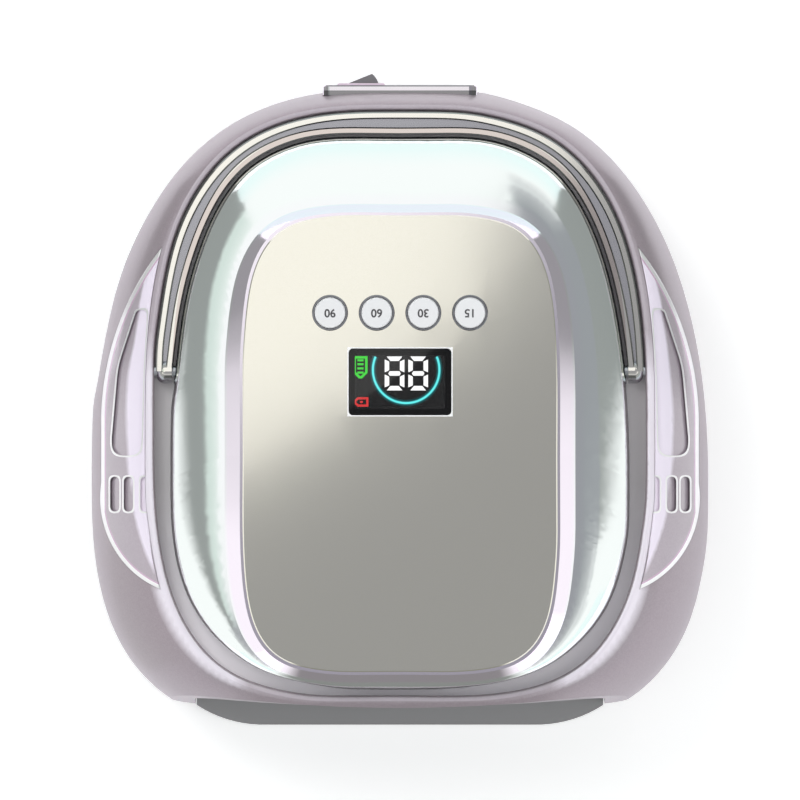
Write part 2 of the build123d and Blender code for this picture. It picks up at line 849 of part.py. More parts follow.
def battery_cradle():
    half_x = pack_half_width()
    half_y = cell_length / 2 + cell_gap
    floor_top = cradle_floor_z + cradle_wall
    side_top = floor_top + cradle_side_height
    cradle = slab(2 * (half_x + cradle_wall), 2 * (half_y + cradle_wall), cradle_floor_z, side_top, cradle_corner,
                  0, pack_y)
    cradle -= box(-half_x, half_x, pack_y - half_y, pack_y + half_y, floor_top, side_top + past)
    for y in (pack_y - cradle_ear_y, pack_y + cradle_ear_y):
        cradle += box(-cradle_ear_x, cradle_ear_x, y - post_radius, y + post_radius, cradle_floor_z, floor_top)
    for x, y in cradle_places():
        cradle += rod(x, y, cradle_floor_z, floor_top, post_radius)
        cradle -= rod(x, y, cradle_floor_z - past, side_top, screw_clear_radius)
    return cradle


def cradle_screws():
    top = cradle_floor_z + cradle_wall
    return group([screw(x, y, top, cradle_wall + cradle_screw_grip, up=False) for x, y in cradle_places()])


def power_board():
    low = power_board_z()
    rear = rear_plate_back_y - rear_pad_depth - past
    board = box(-power_board_width / 2, power_board_width / 2, rear - power_board_depth, rear, low, low + board_thick)
    for x, y in mirrored([(power_post_x, power_post_y)]):
        board -= rod(x, y, low - past, low + board_thick + past, screw_clear_radius)
    return board


def bottom_frame():
    """Horseshoe ring under the shell, open at the mouth."""
    low = foot_height
    high = foot_height + frame_thick
    ring = silhouette.inset(shell_tuck + shell_wall + frame_gap).prism(low, high)
    ring -= cavity.prism(low - past, high + past)
    ring -= brow_cut(shell_wall + liner_front_gap)
    for x, y in mirrored([(power_post_x, power_post_y)]):
        post_top = power_board_z()
        ring += rod(x, y, low, post_top, post_radius)
        ring -= rod(x, y, post_top - power_screw_grip - screw_hole_spare, post_top + past, screw_hole_radius)
    for x, y in beside_shell(shell_boss_insets):
        ring -= rod(x, y, low - past, low + screw_head_height + recess_gap, screw_head_radius + recess_gap)
        ring -= rod(x, y, low, high + past, screw_clear_radius)
    for x, y in beside_cavity(-magnet_offset, magnet_ys):
        ring -= rod(x, y, low - past, low + frame_magnet_thick + recess_gap, magnet_radius + running_gap)
    for x, y in beside_shell(rubber_foot_insets):
        ring -= rod(x, y, low - past, low + rubber_foot_recess, rubber_foot_radius + seat_gap)
    return ring


def housing_screws():
    head_z = foot_height + screw_head_height + recess_gap
    return group([screw(x, y, head_z, housing_screw_length) for x, y in beside_shell(shell_boss_insets)])


def frame_magnets():
    low = foot_height + running_gap
    places = beside_cavity(-magnet_offset, magnet_ys)
    return group([rod(x, y, low, low + frame_magnet_thick, magnet_radius) for x, y in places])


def tray_flange_top():
    return foot_height - tray_step


def tray_magnets():
    high = tray_flange_top() - running_gap
    places = beside_cavity(-magnet_offset, magnet_ys)
    return group([rod(x, y, high - tray_magnet_thick, high, magnet_radius) for x, y in places])


def base_tray():
    """Tray with a step that fills the ring, a flange under it and a lip in front."""
    plate = cavity.inset(tray_gap).prism(tray_bottom_z, tray_top_z)
    plate -= in_front_of(lip_root_y)
    flange = cavity.inset(-tray_flange).prism(tray_bottom_z, tray_flange_top())
    plate += flange - in_front_of(tray_flange_front_y)
    root_half = mouth_half_width() - tray_gap
    front = Line((-lip_flat_half, lip_front_y), (lip_flat_half, lip_front_y))
    shoulder_x = (lip_flat_half + root_half) / 2 + lip_corner_out
    shoulder_y = lip_front_y + lip_corner_back
    right = ThreePointArc((lip_flat_half, lip_front_y), (shoulder_x, shoulder_y), (root_half, lip_root_y))
    left = ThreePointArc((-root_half, lip_root_y), (-shoulder_x, shoulder_y), (-lip_flat_half, lip_front_y))
    back_y = lip_root_y + lip_overlap
    back = Polyline((root_half, lip_root_y), (root_half, back_y), (-root_half, back_y), (-root_half, lip_root_y))
    lip = make_face(Wire([front.edge(), right.edge(), *back.edges(), left.edge()]))
    plate += extrude(Pos(0, 0, tray_bottom_z) * lip, tray_top_z - tray_bottom_z)
    for x, y in beside_cavity(-magnet_offset, magnet_ys):
        pocket_floor = tray_flange_top() - tray_magnet_thick - recess_gap
        plate -= rod(x, y, pocket_floor, tray_top_z, magnet_radius + running_gap)
    for x, y in beside_cavity(tray_foot_inset, tray_foot_ys):
        plate -= rod(x, y, 0, tray_bottom_z + tray_foot_recess, tray_foot_radius + seat_gap)
    return plate


def tray_reflector():
    sheet = cavity.inset(reflector_inset).prism(tray_top_z, tray_top_z + reflector_thick)
    return sheet - brow_cut(shell_wall + reflector_inset)


def tray_feet():
    top = tray_bottom_z + tray_foot_recess - running_gap
    return group([rod(x, y, 0, top, tray_foot_radius) for x, y in beside_cavity(tray_foot_inset, tray_foot_ys)])


def rubber_feet():
    high = foot_height + rubber_foot_recess - running_gap
    feet = [rod(x, y, 0, high, rubber_foot_radius) for x, y in beside_shell(rubber_foot_insets)]
    return group([chamfer(foot.edges().group_by(Axis.Z)[0], rubber_foot_chamfer) for foot in feet])


def rear_plate():
    """Raised frame on the back with the cut-outs for switch and socket."""
    depth = rear_plate_face_y - rear_plate_back_y
    outline = RectangleRounded(2 * rear_plate_half, rear_plate_height, rear_plate_corner)
    inside = RectangleRounded(2 * (rear_plate_half - rear_plate_rim), rear_plate_height - 2 * rear_plate_rim,
                              rear_plate_inner_corner)
    back = Plane((0, rear_plate_back_y, rear_plate_z), x_dir=(-1, 0, 0), z_dir=(0, 1, 0))
    floor = Plane((0, rear_plate_face_y - rear_plate_recess, rear_plate_z), x_dir=(-1, 0, 0), z_dir=(0, 1, 0))
    plate = extrude(back * outline, depth)
    plate = chamfer(plate.faces().sort_by(Axis.Y)[-1].edges(), rear_plate_chamfer)
    plate -= extrude(floor * inside, depth)
    for opening in rear_openings():
        plate -= opening
    return plate


def bezel_back_y():
    return rear_plate_face_y - rear_plate_recess


def switch_body():
    front = rear_plate_face_y + bezel_proud
    back = bezel_back_y()
    bezel = box(-bezel_length / 2, bezel_length / 2, back, front, -bezel_height / 2, bezel_height / 2)
    bezel = chamfer(bezel.faces().sort_by(Axis.Y)[-1].edges(), bezel_chamfer)
    body = bezel + box(-switch_body_length / 2, switch_body_length / 2, back - switch_body_depth, back,
                       -switch_body_height / 2, switch_body_height / 2)
    well_half = rocker_height / 2 + rocker_side_gap
    stub_end = well_half + stub_hole_depth
    body -= rod(0, rocker_pivot_y, -well_half, well_half, rocker_radius + rocker_gap)
    body -= rod(0, rocker_pivot_y, -stub_end, stub_end, stub_radius + running_gap)
    inner = back - switch_body_depth
    for x in (-terminal_x, terminal_x):
        body += box(x - terminal_thick / 2, x + terminal_thick / 2, inner - terminal_length, inner,
                    -terminal_width / 2, terminal_width / 2)
    return Pos(switch_x, 0, rear_plate_z) * body


def rocker():
    """Part of a disc with one flat face, on two stub axles."""
    disc = Cylinder(rocker_radius, rocker_height)
    disc -= Pos(0, rocker_face + rocker_radius, 0) * Box(4 * rocker_radius, 2 * rocker_radius, 2 * rocker_height)
    disc -= Pos(0, -rocker_radius - rocker_back, 0) * Box(4 * rocker_radius, 2 * rocker_radius, 2 * rocker_height)
    disc += Cylinder(stub_radius, rocker_height + 2 * stub_length)
    return Pos(switch_x, rocker_pivot_y, rear_plate_z) * Rot(0, 0, rocker_tilt) * disc


def dc_jack():
    back = rear_plate_back_y - rear_pad_depth - socket_gap
    front = bezel_back_y() + hole_gap
    body = box(-socket_body_width / 2, socket_body_width / 2, back - socket_body_depth, back,
               -socket_body_height / 2, socket_body_height / 2)
    body += rod_y(0, back - past, front, 0, socket_barrel_radius)
    body -= rod_y(0, front - socket_bore_depth, front + past, 0, socket_bore_radius)
    body += rod_y(0, front - socket_bore_depth - past, front - past, 0, socket_pin_radius)
    return Pos(socket_x, 0, rear_plate_z) * body


def handle_bail():
    """Flat bail that follows the channel, grooved on top, with a round eye at each end."""
    outer = channel.inset(handle_gap)
    inner = rim.inset(-handle_inner_gap)
    band = outer.prism(handle_bottom_z, handle_top_z) - inner.prism(handle_bottom_z - past, handle_top_z + past)
    band -= in_front_of(pivot_y)
    groove_z = handle_top_z - handle_groove_depth
    groove = outer.inset(handle_groove_width).prism(groove_z, handle_top_z + past)
    groove -= inner.inset(-handle_groove_width).prism(groove_z - past, handle_top_z + 2 * past)
    band -= groove
    long_edges = [edge for edge in band.edges().group_by(Axis.Z)[-1] if edge.length > handle_groove_width * 2]
    band = chamfer(long_edges, handle_edge)
    for side in (1, -1):
        x_in = inner.half_width_at(pivot_y) + eye_side_gap
        x_out = outer.half_width_at(pivot_y) - eye_side_gap
        eye = rod_x(side * x_in, side * x_out, pivot_y, pivot_z, eye_radius)
        outer_end = eye.faces().sort_by(Axis.X)[-1 if side > 0 else 0]
        band += fillet(outer_end.edges(), eye_round)
        band -= rod_x(side * (x_in - past), side * (x_out + past), pivot_y, pivot_z, pin_radius + running_gap)
    return band


def handle_pin(side):
    low = inside_upstand.half_width_at(pivot_y) + pin_end_gap
    high = channel_half_width + trough_wall - pin_end_gap
    return rod_x(side * low, side * high, pivot_y, pivot_z, pin_radius)


def all_parts():
    parts = {
        "upper_housing": upper_housing(),
        "top_cover": top_cover(),
        "control_panel": control_panel(),
        "side_wing_left": side_wing(-1),
        "side_wing_right": side_wing(1),
        "display_lens": display_lens(),
        "display_module": display_module(),
        "control_board": control_board(),
        "tact_switches": tact_switches(),
        "button_rings": button_rings(),
        "board_screws": board_screws(),
        "inner_reflector": inner_reflector(),
        "led_boards": led_boards(),
        "led_lenses": led_lenses(),
        "hand_sensors": hand_sensors(),
        "battery_cells": battery_cells(),
        "battery_cradle": battery_cradle(),
        "cradle_screws": cradle_screws(),
        "power_board": power_board(),
        "bottom_frame": bottom_frame(),
        "housing_screws": housing_screws(),
        "frame_magnets": frame_magnets(),
        "rubber_feet": rubber_feet(),
        "base_tray": base_tray(),
        "tray_reflector": tray_reflector(),
        "tray_magnets": tray_magnets(),
        "tray_feet": tray_feet(),
        "rear_plate": rear_plate(),
        "switch_body": switch_body(),
        "rocker": rocker(),
        "dc_jack": dc_jack(),
        "handle_bail": handle_bail(),
        "handle_pin_left": handle_pin(-1),
        "handle_pin_right": handle_pin(1),
    }
    for name, x in zip(button_names, button_places()):
        parts["button_" + name] = button_cap(x)
    return parts


os.makedirs("parts", exist_ok=True)
for name, part in all_parts().items():
    export_step(part, f"parts/{name}.step")
    print(name, len(part.solids()), "solid(s)", round(sum(one.volume for one in part.solids())), "mm3")
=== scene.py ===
# %% [markdown]
# # A mirror-plated nail lamp, seen from straight above
#
# The lamp is a moulded shell of mauve pearl plastic. A mirror-plated cover
# rises inside a channel in its top, and on the cover's flat middle lies a
# champagne plate with four white push buttons and a small display. The
# construction arrives as a fixed frame of real pieces, so this lesson gives
# each piece its finish, and adds the printed numbers and the lit figures.

import math
from functools import partial

import bpy
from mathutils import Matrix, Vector


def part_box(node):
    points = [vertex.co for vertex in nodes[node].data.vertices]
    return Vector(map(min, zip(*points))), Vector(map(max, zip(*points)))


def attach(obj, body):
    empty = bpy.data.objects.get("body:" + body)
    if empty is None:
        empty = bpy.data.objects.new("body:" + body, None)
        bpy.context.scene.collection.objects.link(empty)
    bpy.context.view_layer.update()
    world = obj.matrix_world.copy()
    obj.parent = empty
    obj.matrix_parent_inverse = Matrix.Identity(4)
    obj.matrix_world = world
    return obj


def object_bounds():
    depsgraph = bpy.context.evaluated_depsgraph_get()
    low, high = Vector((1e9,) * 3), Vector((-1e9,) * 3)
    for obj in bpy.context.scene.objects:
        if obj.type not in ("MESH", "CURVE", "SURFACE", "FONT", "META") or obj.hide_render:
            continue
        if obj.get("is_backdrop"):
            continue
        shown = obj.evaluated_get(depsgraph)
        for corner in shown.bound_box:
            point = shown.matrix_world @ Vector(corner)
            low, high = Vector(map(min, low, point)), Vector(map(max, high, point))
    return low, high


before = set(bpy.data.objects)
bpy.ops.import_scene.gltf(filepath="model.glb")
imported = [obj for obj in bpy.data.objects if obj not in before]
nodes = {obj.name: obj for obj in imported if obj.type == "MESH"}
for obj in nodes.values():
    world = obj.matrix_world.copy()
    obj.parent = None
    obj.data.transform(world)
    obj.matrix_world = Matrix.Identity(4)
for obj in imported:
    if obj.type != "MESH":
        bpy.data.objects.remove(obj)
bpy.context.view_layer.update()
scene = bpy.context.scene
MM = 0.001
print("pieces in the frame:", len(nodes))

# %% [markdown]
# ## The camera
#
# The photograph was taken from a long way off, straight above the lamp, with
# the rear of the lamp at the top of the picture. A long lens keeps the sides of
# the shell from leaning outwards. Its focal length follows from the camera's
# height and from the width of table that the picture takes in.

# %% Place the camera
picture_width = 288 * MM
camera_height = 9000 * MM
focus_height = 45 * MM
sensor_width = 36.0

camera_data = bpy.data.cameras.new("camera")
camera_data.sensor_width = sensor_width
camera_data.lens = sensor_width * (camera_height - focus_height) / picture_width
camera_data.clip_start = 0.05
camera_data.clip_end = 50.0
camera = bpy.data.objects.new("camera", camera_data)
camera.location = (0, 0, camera_height)
scene.collection.objects.link(camera)
scene.camera = camera
print("lens in mm:", round(camera_data.lens))

# %% [markdown]
# ## Colours and nodes
#
# Colours are picked as sRGB hex values, as a paint chart gives them, but a
# shader counts in linear light, so one function turns them over. A second small
# function adds a node, sets it and joins it to the nodes before it. Each new
# material hands that function on as add, with its own tree filled in. Patterns
# read a place on the piece itself, so they stay on it when it moves.

# %% Helpers for materials
def colour(hex_value):
    """A linear RGBA colour from an sRGB hex value such as 'a8a0a6'."""
    parts = [int(hex_value[i:i + 2], 16) / 255 for i in (0, 2, 4)]
    linear = [p / 12.92 if p <= 0.04045 else ((p + 0.055) / 1.055) ** 2.4 for p in parts]
    return (*linear, 1.0)


def add_node(tree, kind, inputs=None, **settings):
    """Adds a shader node. An input takes a number, a hex colour, or another node, which is joined to it."""
    node = tree.nodes.new("ShaderNode" + kind)
    for name, value in settings.items():
        setattr(node, name, value)
    shown = [socket for socket in node.inputs if socket.enabled]
    for key, value in (inputs or {}).items():
        socket = shown[key] if isinstance(key, int) else next(s for s in shown if s.name == key)
        if isinstance(value, bpy.types.Node):
            value = next(s for s in value.outputs if s.enabled)
        if isinstance(value, str):
            value = colour(value)
        if isinstance(value, bpy.types.NodeSocket):
            tree.links.new(value, socket)
        else:
            socket.default_value = value
    return node


def new_material(name):
    """An empty material, the function that adds its nodes, and the place on the piece, in metres."""
    material = bpy.data.materials.new(name)
    material.use_nodes = True
    material.node_tree.nodes.clear()
    add = partial(add_node, material.node_tree)
    return material, add, add("TexCoord").outputs["Object"]


def finished(material, surface):
    """The material with its surface joined to the output."""
    add_node(material.node_tree, "OutputMaterial", {"Surface": surface})
    return material


def grain(size_mm):
    """The scale of a pattern whose grains are that many millimetres wide."""
    return 1000.0 / size_mm


def dress(material, *names):
    """Gives pieces of the frame a material."""
    for name in names:
        nodes[name].data.materials.clear()
        nodes[name].data.materials.append(material)
    print(material.name, "on", ", ".join(names))


print("a grey of 808080 in linear light:", round(colour("808080")[0], 3))

# %% [markdown]
# ## The studio
#
# Mirror plating shows nothing of its own, only what stands round it, so the
# studio is half of its look. The table and the room are white, with a breath of
# lavender on the table and of mint on the walls, which only reflections show:
# the steep faces of the lamp mirror the table, and the flatter ones the walls.
# For the camera both are plain white, and the light on the lamp stays low: the
# table's glow reaches no dull surface, and the room gives dull ones less light.

# %% Lay the white table and fill the room with light
table_size = 12.0
table_drop = 0.2 * MM
table_glow = 0.4
room_dimming = 0.45
mint_below = 0.3
white_above = 0.75


def white_table():
    material, add, _ = new_material("white_table_paper")
    path = add("LightPath")
    mirrored = add("Math", {0: path.outputs["Is Glossy Ray"], 1: path.outputs["Is Transmission Ray"]},
                   operation="MAXIMUM")
    direct = add("Math", {0: mirrored, 1: path.outputs["Is Camera Ray"]}, operation="MAXIMUM")
    glow = add("Math", {0: direct, 1: table_glow}, operation="MULTIPLY")
    tint = add("Mix", {"Factor": mirrored, "A": "ffffff", "B": "f3eaf9"}, data_type="RGBA")
    paper = add("BsdfDiffuse", {"Color": "f2f2f2"})
    glowing = add("Emission", {"Color": tint, "Strength": glow})
    finished(material, add("AddShader", {0: paper, 1: glowing}))
    bpy.ops.mesh.primitive_plane_add(size=table_size, location=(0, 0, -table_drop))
    table = bpy.context.active_object
    table.name = "white_table"
    table.data.materials.append(material)
    table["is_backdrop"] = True
    print("table in metres:", table_size)


def white_room():
    world = bpy.data.worlds.new("white_room")
    world.use_nodes = True
    world.node_tree.nodes.clear()
    add = partial(add_node, world.node_tree)
    path = add("LightPath")
    soft = add("Math", {0: path.outputs["Is Diffuse Ray"], 1: -room_dimming}, operation="MULTIPLY")
    strength = add("Math", {0: soft, 1: 1.0}, operation="ADD")
    way = add("SeparateXYZ", {"Vector": add("TexCoord").outputs["Generated"]})
    height = add("MapRange", {"Value": way.outputs["Z"], "From Min": mint_below, "From Max": white_above})
    walls = add("Mix", {"Factor": height, "A": "f2ffff", "B": "ffffff"}, data_type="RGBA")
    seen = add("Mix", {"Factor": path.outputs["Is Camera Ray"], "A": walls, "B": "ffffff"},
               data_type="RGBA")
    light = add("Background", {"Color": seen, "Strength": strength})
    add("OutputWorld", {"Surface": light})
    scene.world = world
    print("room light on dull surfaces:", 1 - room_dimming)


white_table()
white_room()
scene.view_settings.view_transform = "Standard"

# %% [markdown]
# Two large soft lamps stand left and right. They are hidden from reflections,
# so that a mirror face shows the room and the cards and no bright squares.

# %% Hang the lamps
def soft_lamp(name, place, width, watts):
    """A square lamp that points at the middle of the table."""
    light = bpy.data.lights.new(name, "AREA")
    light.size = width
    light.energy = watts
    lamp = bpy.data.objects.new(name, light)
    lamp.location = place
    lamp.rotation_euler = Vector(place).to_track_quat("Z", "Y").to_euler()
    lamp.visible_glossy = False
    scene.collection.objects.link(lamp)
    print(name, "gives", watts, "watts")


soft_lamp("lamp_rear_left", (-0.9, 0.9, 1.6), 0.9, 14)
soft_lamp("lamp_front_right", (1.1, -0.6, 1.5), 1.2, 8)

# %% [markdown]
# Grey cards, as photographers hang them over chrome, give the grey bands. They
# are seen in reflections alone: they throw no shadow and light nothing. Those
# over the lamp show in the champagne plate and round the foot of the mirror
# cover. Away from the middle their paint fades to white, which leaves a soft
# shade on the cover, latest towards the front. Only a wedge to the right stays grey.

# %% Paint the cards over the lamp
def hang(card, paint):
    """Keeps a card out of everything but reflections."""
    card.data.materials.append(paint)
    for way in ("camera", "diffuse", "transmission", "volume_scatter", "shadow"):
        setattr(card, "visible_" + way, False)
    card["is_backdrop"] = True


card_height = 1500 * MM
fade_from = 0.45
fade_to = 1.7
pale_from = 0.7
pale_to = 1.0
pale_share = 0.6
wedge_end = 43
wedge_edges = [(wedge_end, wedge_end - 10), (-9, -3)]
front_edge = (-75, -45)


def overhead_paint():
    """Grey in the middle of the room and white towards the walls. Angles count from the right."""
    material, add, _ = new_material("overhead_card_grey")
    spot = add("NewGeometry").outputs["Position"]
    off = add("VectorMath", {0: spot, 1: (0, 0, card_height)}, operation="DISTANCE")
    fade = add("MapRange", {"Value": off.outputs["Value"], "From Min": fade_from, "From Max": fade_to})
    parts = add("SeparateXYZ", {"Vector": spot})
    angle = add("Math", {0: parts.outputs["Y"], 1: parts.outputs["X"]}, operation="ARCTAN2")
    before, after, beside = (
        add("MapRange", {"Value": angle, "From Min": math.radians(start), "From Max": math.radians(end)})
        for start, end in (*wedge_edges, front_edge))
    wedge = add("Math", {0: before, 1: after}, operation="MULTIPLY")
    outside = add("Math", {0: 1.0, 1: wedge}, operation="SUBTRACT")
    far = add("MapRange", {"Value": off.outputs["Value"], "From Min": pale_from, "From Max": pale_to,
                           "To Max": pale_share})
    pale = add("Math", {0: far, 1: beside}, operation="MULTIPLY")
    paler = add("Math", {0: fade, 1: pale}, operation="MAXIMUM")
    share = add("Math", {0: paler, 1: outside}, operation="MULTIPLY")
    grey = add("Mix", {"Factor": share, "A": "999a9f", "B": "ffffff"}, data_type="RGBA")
    return finished(material, add("Emission", {"Color": grey}))


overhead_grey = overhead_paint()
print("painted:", overhead_grey.name)

# %% [markdown]
# Where the cards' edges hang is worked out from where they show on the plate: a
# ray from the camera that meets the crowned plate leaves it at twice the plate's
# tilt, so an edge hangs about two and a half times as far out as it shows.

# %% Hang the cards over the lamp
crown_radius = 2200 * MM
crown_y = -15.6 * MM
card_size = 3.0


def over(x_mm, y_mm):
    """The place on an overhead card that shows at a place on the plate."""
    spread = 1 + card_height / camera_height + 2 * card_height / crown_radius
    shift = 2 * crown_y * card_height / crown_radius
    return Vector((x_mm * MM * spread, y_mm * MM * spread - shift, card_height))


def overhead_card(name, start, end, paint):
    """A square card to the right of the line that runs from start to end on the plate."""
    a, b = over(*start), over(*end)
    along = (b - a).normalized()
    across = Vector((along.y, -along.x, 0))
    middle = (a + b) / 2 + across * card_size / 2
    bpy.ops.mesh.primitive_plane_add(size=card_size, location=middle,
                                     rotation=(math.pi, 0, math.atan2(along.y, along.x)))
    card = bpy.context.active_object
    card.name = name
    hang(card, paint)
    print(name, "hangs at", [round(part, 2) for part in middle])


overhead_card("card_over_right", (27.4, 25.7), (37.9, 62.5), overhead_grey)
overhead_card("card_over_front", (-55.4, -27.5), (27.4, 25.7), overhead_grey)

# %% [markdown]
# The other cards are coves: each lies on the table round the lamp, and further
# out stands up, over a span of compass angles. The steep faces of the lamp mirror
# the lying part and the flatter faces the standing part. One edge of the side
# coves is sharp, and the other leans and fades out, as the bands on the cover do.
# The left cove is the tall soft one that gives the mint band, and the front one is
# the darkest, because the brow hangs over it.

# %% Paint the coves
def cove_paint(name, grey_hex, bands, fades, side=1.0, climb=0.0):
    """Grey paint. Each band turns it into another colour between two heights. Each fade to white has the
    compass angle where it starts on the table, the angle that a metre of height adds, and the angle over
    which it spreads. The compass counts from the right, or from the left where side is -1. Beyond the first
    fade's start, the bands climb by that many metres for each radian."""
    material, add, place = new_material(name)
    spot = add("SeparateXYZ", {"Vector": place})
    arms = [add("Math", {0: spot.outputs[axis], 1: side}, operation="MULTIPLY") for axis in "YX"]
    angle = add("Math", {0: arms[0], 1: arms[1]}, operation="ARCTAN2")
    paint = add("Mix", {"Factor": 0.0, "A": grey_hex}, data_type="RGBA")
    onward = add("Math", {0: angle, 1: math.radians(fades[0][0])}, operation="SUBTRACT")
    ahead = add("Math", {0: onward, 1: 0.0}, operation="MAXIMUM")
    raised = add("Math", {0: ahead, 1: -climb}, operation="MULTIPLY")
    level = add("Math", {0: spot.outputs["Z"], 1: raised}, operation="ADD")
    for low, high, hex_value in bands:
        above = add("MapRange", {"Value": level, "From Min": low, "From Max": high})
        paint = add("Mix", {"Factor": above, "A": paint, "B": hex_value}, data_type="RGBA")
    for start, lean, spread in fades:
        back = add("Math", {0: spot.outputs["Z"], 1: -math.radians(lean)}, operation="MULTIPLY")
        turn = add("Math", {0: angle, 1: back}, operation="ADD")
        fade = add("MapRange", {"Value": turn, "From Min": math.radians(start),
                                "From Max": math.radians(start + spread)})
        paint = add("Mix", {"Factor": fade, "A": paint, "B": "ffffff"}, data_type="RGBA")
    return finished(material, add("Emission", {"Color": paint}))


left_grey = cove_paint(
    "cove_grey_left", "999b9a", [(1.15, 1.6, "d9e3de"), (2.0, 4.5, "f4f7f5")], [(-9, 13, 10)],
    side=-1.0, climb=3.5)
right_grey = cove_paint("cove_grey_right", "979998", [], [(5, -5, -5)])
front_grey = cove_paint("cove_grey_front", "8b8b89", [], [(-106, 0, -6), (-74, 0, 6)])
print("painted:", ", ".join(paint.name for paint in (left_grey, right_grey, front_grey)))

# %% [markdown]
# One function bends a sheet from its profile, near edge, far edge and top, turned
# round the lamp in small steps. The steps are too small for the plating to show.

# %% Stand the coves round the table
cove_near = 0.16
cove_far = 1.2
cove_top = 4.5
cove_lift = 2 * MM
cove_steps = 24


def cove(name, from_angle, to_angle, paint):
    """A sheet that lies on the table and then stands up, over a span of compass angles."""
    profile = [(cove_near, cove_lift), (cove_far, cove_lift), (cove_far, cove_top)]
    step_angle = (to_angle - from_angle) / cove_steps
    turns = [math.radians(from_angle + step_angle * step) for step in range(cove_steps + 1)]
    corners = [(reach * math.cos(turn), reach * math.sin(turn), height) for turn in turns
               for reach, height in profile]
    faces = [(3 * step + row, 3 * step + row + 3, 3 * step + row + 4, 3 * step + row + 1)
             for step in range(cove_steps) for row in (0, 1)]
    mesh = bpy.data.meshes.new(name)
    mesh.from_pydata(corners, [], faces)
    sheet = bpy.data.objects.new(name, mesh)
    scene.collection.objects.link(sheet)
    hang(sheet, paint)
    print(name, "spans", to_angle - from_angle, "degrees")


cove("cove_left", 138, 226, left_grey)
cove("cove_right", -18, wedge_end, right_grey)
cove("cove_front", -114, -66, front_grey)

# %% [markdown]
# ## Mauve pearl lacquer
#
# The shell is moulded ABS sprayed with a pearl lacquer: fine mica flakes lie in
# the colour, and a clear coat lies over them. Up close the flakes sparkle and
# the coat has the faint orange peel of sprayed paint, which bends every
# reflection a little. Real flakes are far too fine for this picture, so they are
# drawn a third of a millimetre wide to show at all. A pale highlight is painted
# on the crest of the rim where it faces up, strongest beside the trims and at the
# two front corners. The floor of the channel is painted greyer and paler than the
# sides, which lifts the shade in the channel, and paler still towards the front,
# where little light falls between rim and cover.

# %% Spray the shell
def flaked(add, place, dark, bright, flake_mm=0.35):
    """A colour that changes a little from flake to flake."""
    flakes = add("TexVoronoi", {"Vector": place, "Scale": grain(flake_mm)})
    share = add("SeparateColor", {"Color": flakes.outputs["Color"]})
    return add("Mix", {"Factor": share, "A": dark, "B": bright}, data_type="RGBA")


def orange_peel(add, place, wave_mm=2.5, depth_mm=0.004):
    """The slight waves of sprayed paint."""
    waves = add("TexNoise", {"Vector": place, "Scale": grain(wave_mm), "Detail": 1.0})
    return add("Bump", {"Height": waves, "Distance": depth_mm * MM})


def steepness(add):
    """1 where a face looks straight up and 0 where it stands upright."""
    facing = add("TexCoord").outputs["Normal"]
    return add("SeparateXYZ", {"Vector": facing}).outputs["Z"]


# Where the painted crest highlight and the painted lighter channel floor lie
crest_slopes = (0.78, 0.93)
crest_highlight_level = 74 * MM
corner_x = (54 * MM, 60 * MM)
corner_y = (25 * MM, 8 * MM)
faint_highlight = 0.3
floor_lift_y = (-30 * MM, -70 * MM)


def pearl_lacquered_abs():
    material, add, place = new_material("pearl_lacquered_abs")
    spot = add("SeparateXYZ", {"Vector": place})
    aside = add("Math", {0: spot.outputs["X"]}, operation="ABSOLUTE")
    facing_up, at_side, at_front, ahead = (
        add("MapRange", {"Value": value, "From Min": start, "From Max": end})
        for value, (start, end) in ((steepness(add), crest_slopes), (aside, corner_x),
                                    (spot.outputs["Y"], corner_y), (spot.outputs["Y"], floor_lift_y)))
    # Painted highlight: the crest of the rim, where it faces up above the channel, is painted pale lavender
    out_of_channel = add("Math", {0: spot.outputs["Z"], 1: crest_highlight_level}, operation="GREATER_THAN")
    corner = add("Math", {0: at_side, 1: at_front}, operation="MULTIPLY")
    crest = add("Math", {0: facing_up, 1: out_of_channel}, operation="MULTIPLY")
    highlight_strength = add("MapRange", {"Value": corner, "To Min": faint_highlight, "To Max": 1.0})
    painted_highlight = add("Math", {0: highlight_strength, 1: crest}, operation="MULTIPLY")
    # Painted light: the channel floor is painted paler to lift its shade, paler still towards the front
    floor = add("Math", {0: facing_up, 1: crest}, operation="SUBTRACT")
    lifted_floor_tone = add("Mix", {"Factor": ahead, "A": "d2ced0", "B": "faf5fa"}, data_type="RGBA")
    ground = add("Mix", {"Factor": floor, "A": flaked(add, place, "a3979e", "ab9fa6"),
                         "B": lifted_floor_tone}, data_type="RGBA")
    pearl = add("Mix", {"Factor": painted_highlight, "A": ground, "B": "f6eff9"}, data_type="RGBA")
    lacquer = add("BsdfPrincipled", {
        "Base Color": pearl, "Metallic": 0.3, "Roughness": 0.36,
        "Coat Weight": 0.2, "Coat Roughness": 0.08, "Normal": orange_peel(add, place)})
    return finished(material, lacquer)


dress(pearl_lacquered_abs(), "upper_housing")

# %% [markdown]
# ## The shoulder trims
#
# The crescent trims have the same lacquer, and highlights are painted on it. A
# white highlight line is painted along their outer edge and round the rims of the
# long pocket and of the three grip marks, where light would catch the edges.
# These lines are so fine that the material draws them, and for that it has to
# know how far a place is from each edge. Both trims share one material, so a
# place on the left trim is folded over to the right one first.
# The crescent's outline is two arcs joined by a short straight. How far a place
# lies inside it is its distance from the nearer of the two arcs, or from the
# straight where that is less.

# %% Measure the trims' outer edge
def folded(add, place):
    """A place in millimetres, seen from above and folded to the right, with its two parts."""
    flat = add("VectorMath", {0: place, 1: (1 / MM, 1 / MM, 0)}, operation="MULTIPLY")
    unsigned = add("VectorMath", {0: flat}, operation="ABSOLUTE")
    across = add("SeparateXYZ", {"Vector": unsigned}).outputs["X"]
    along = add("SeparateXYZ", {"Vector": flat}).outputs["Y"]
    return add("CombineXYZ", {"X": across, "Y": along}), across, along


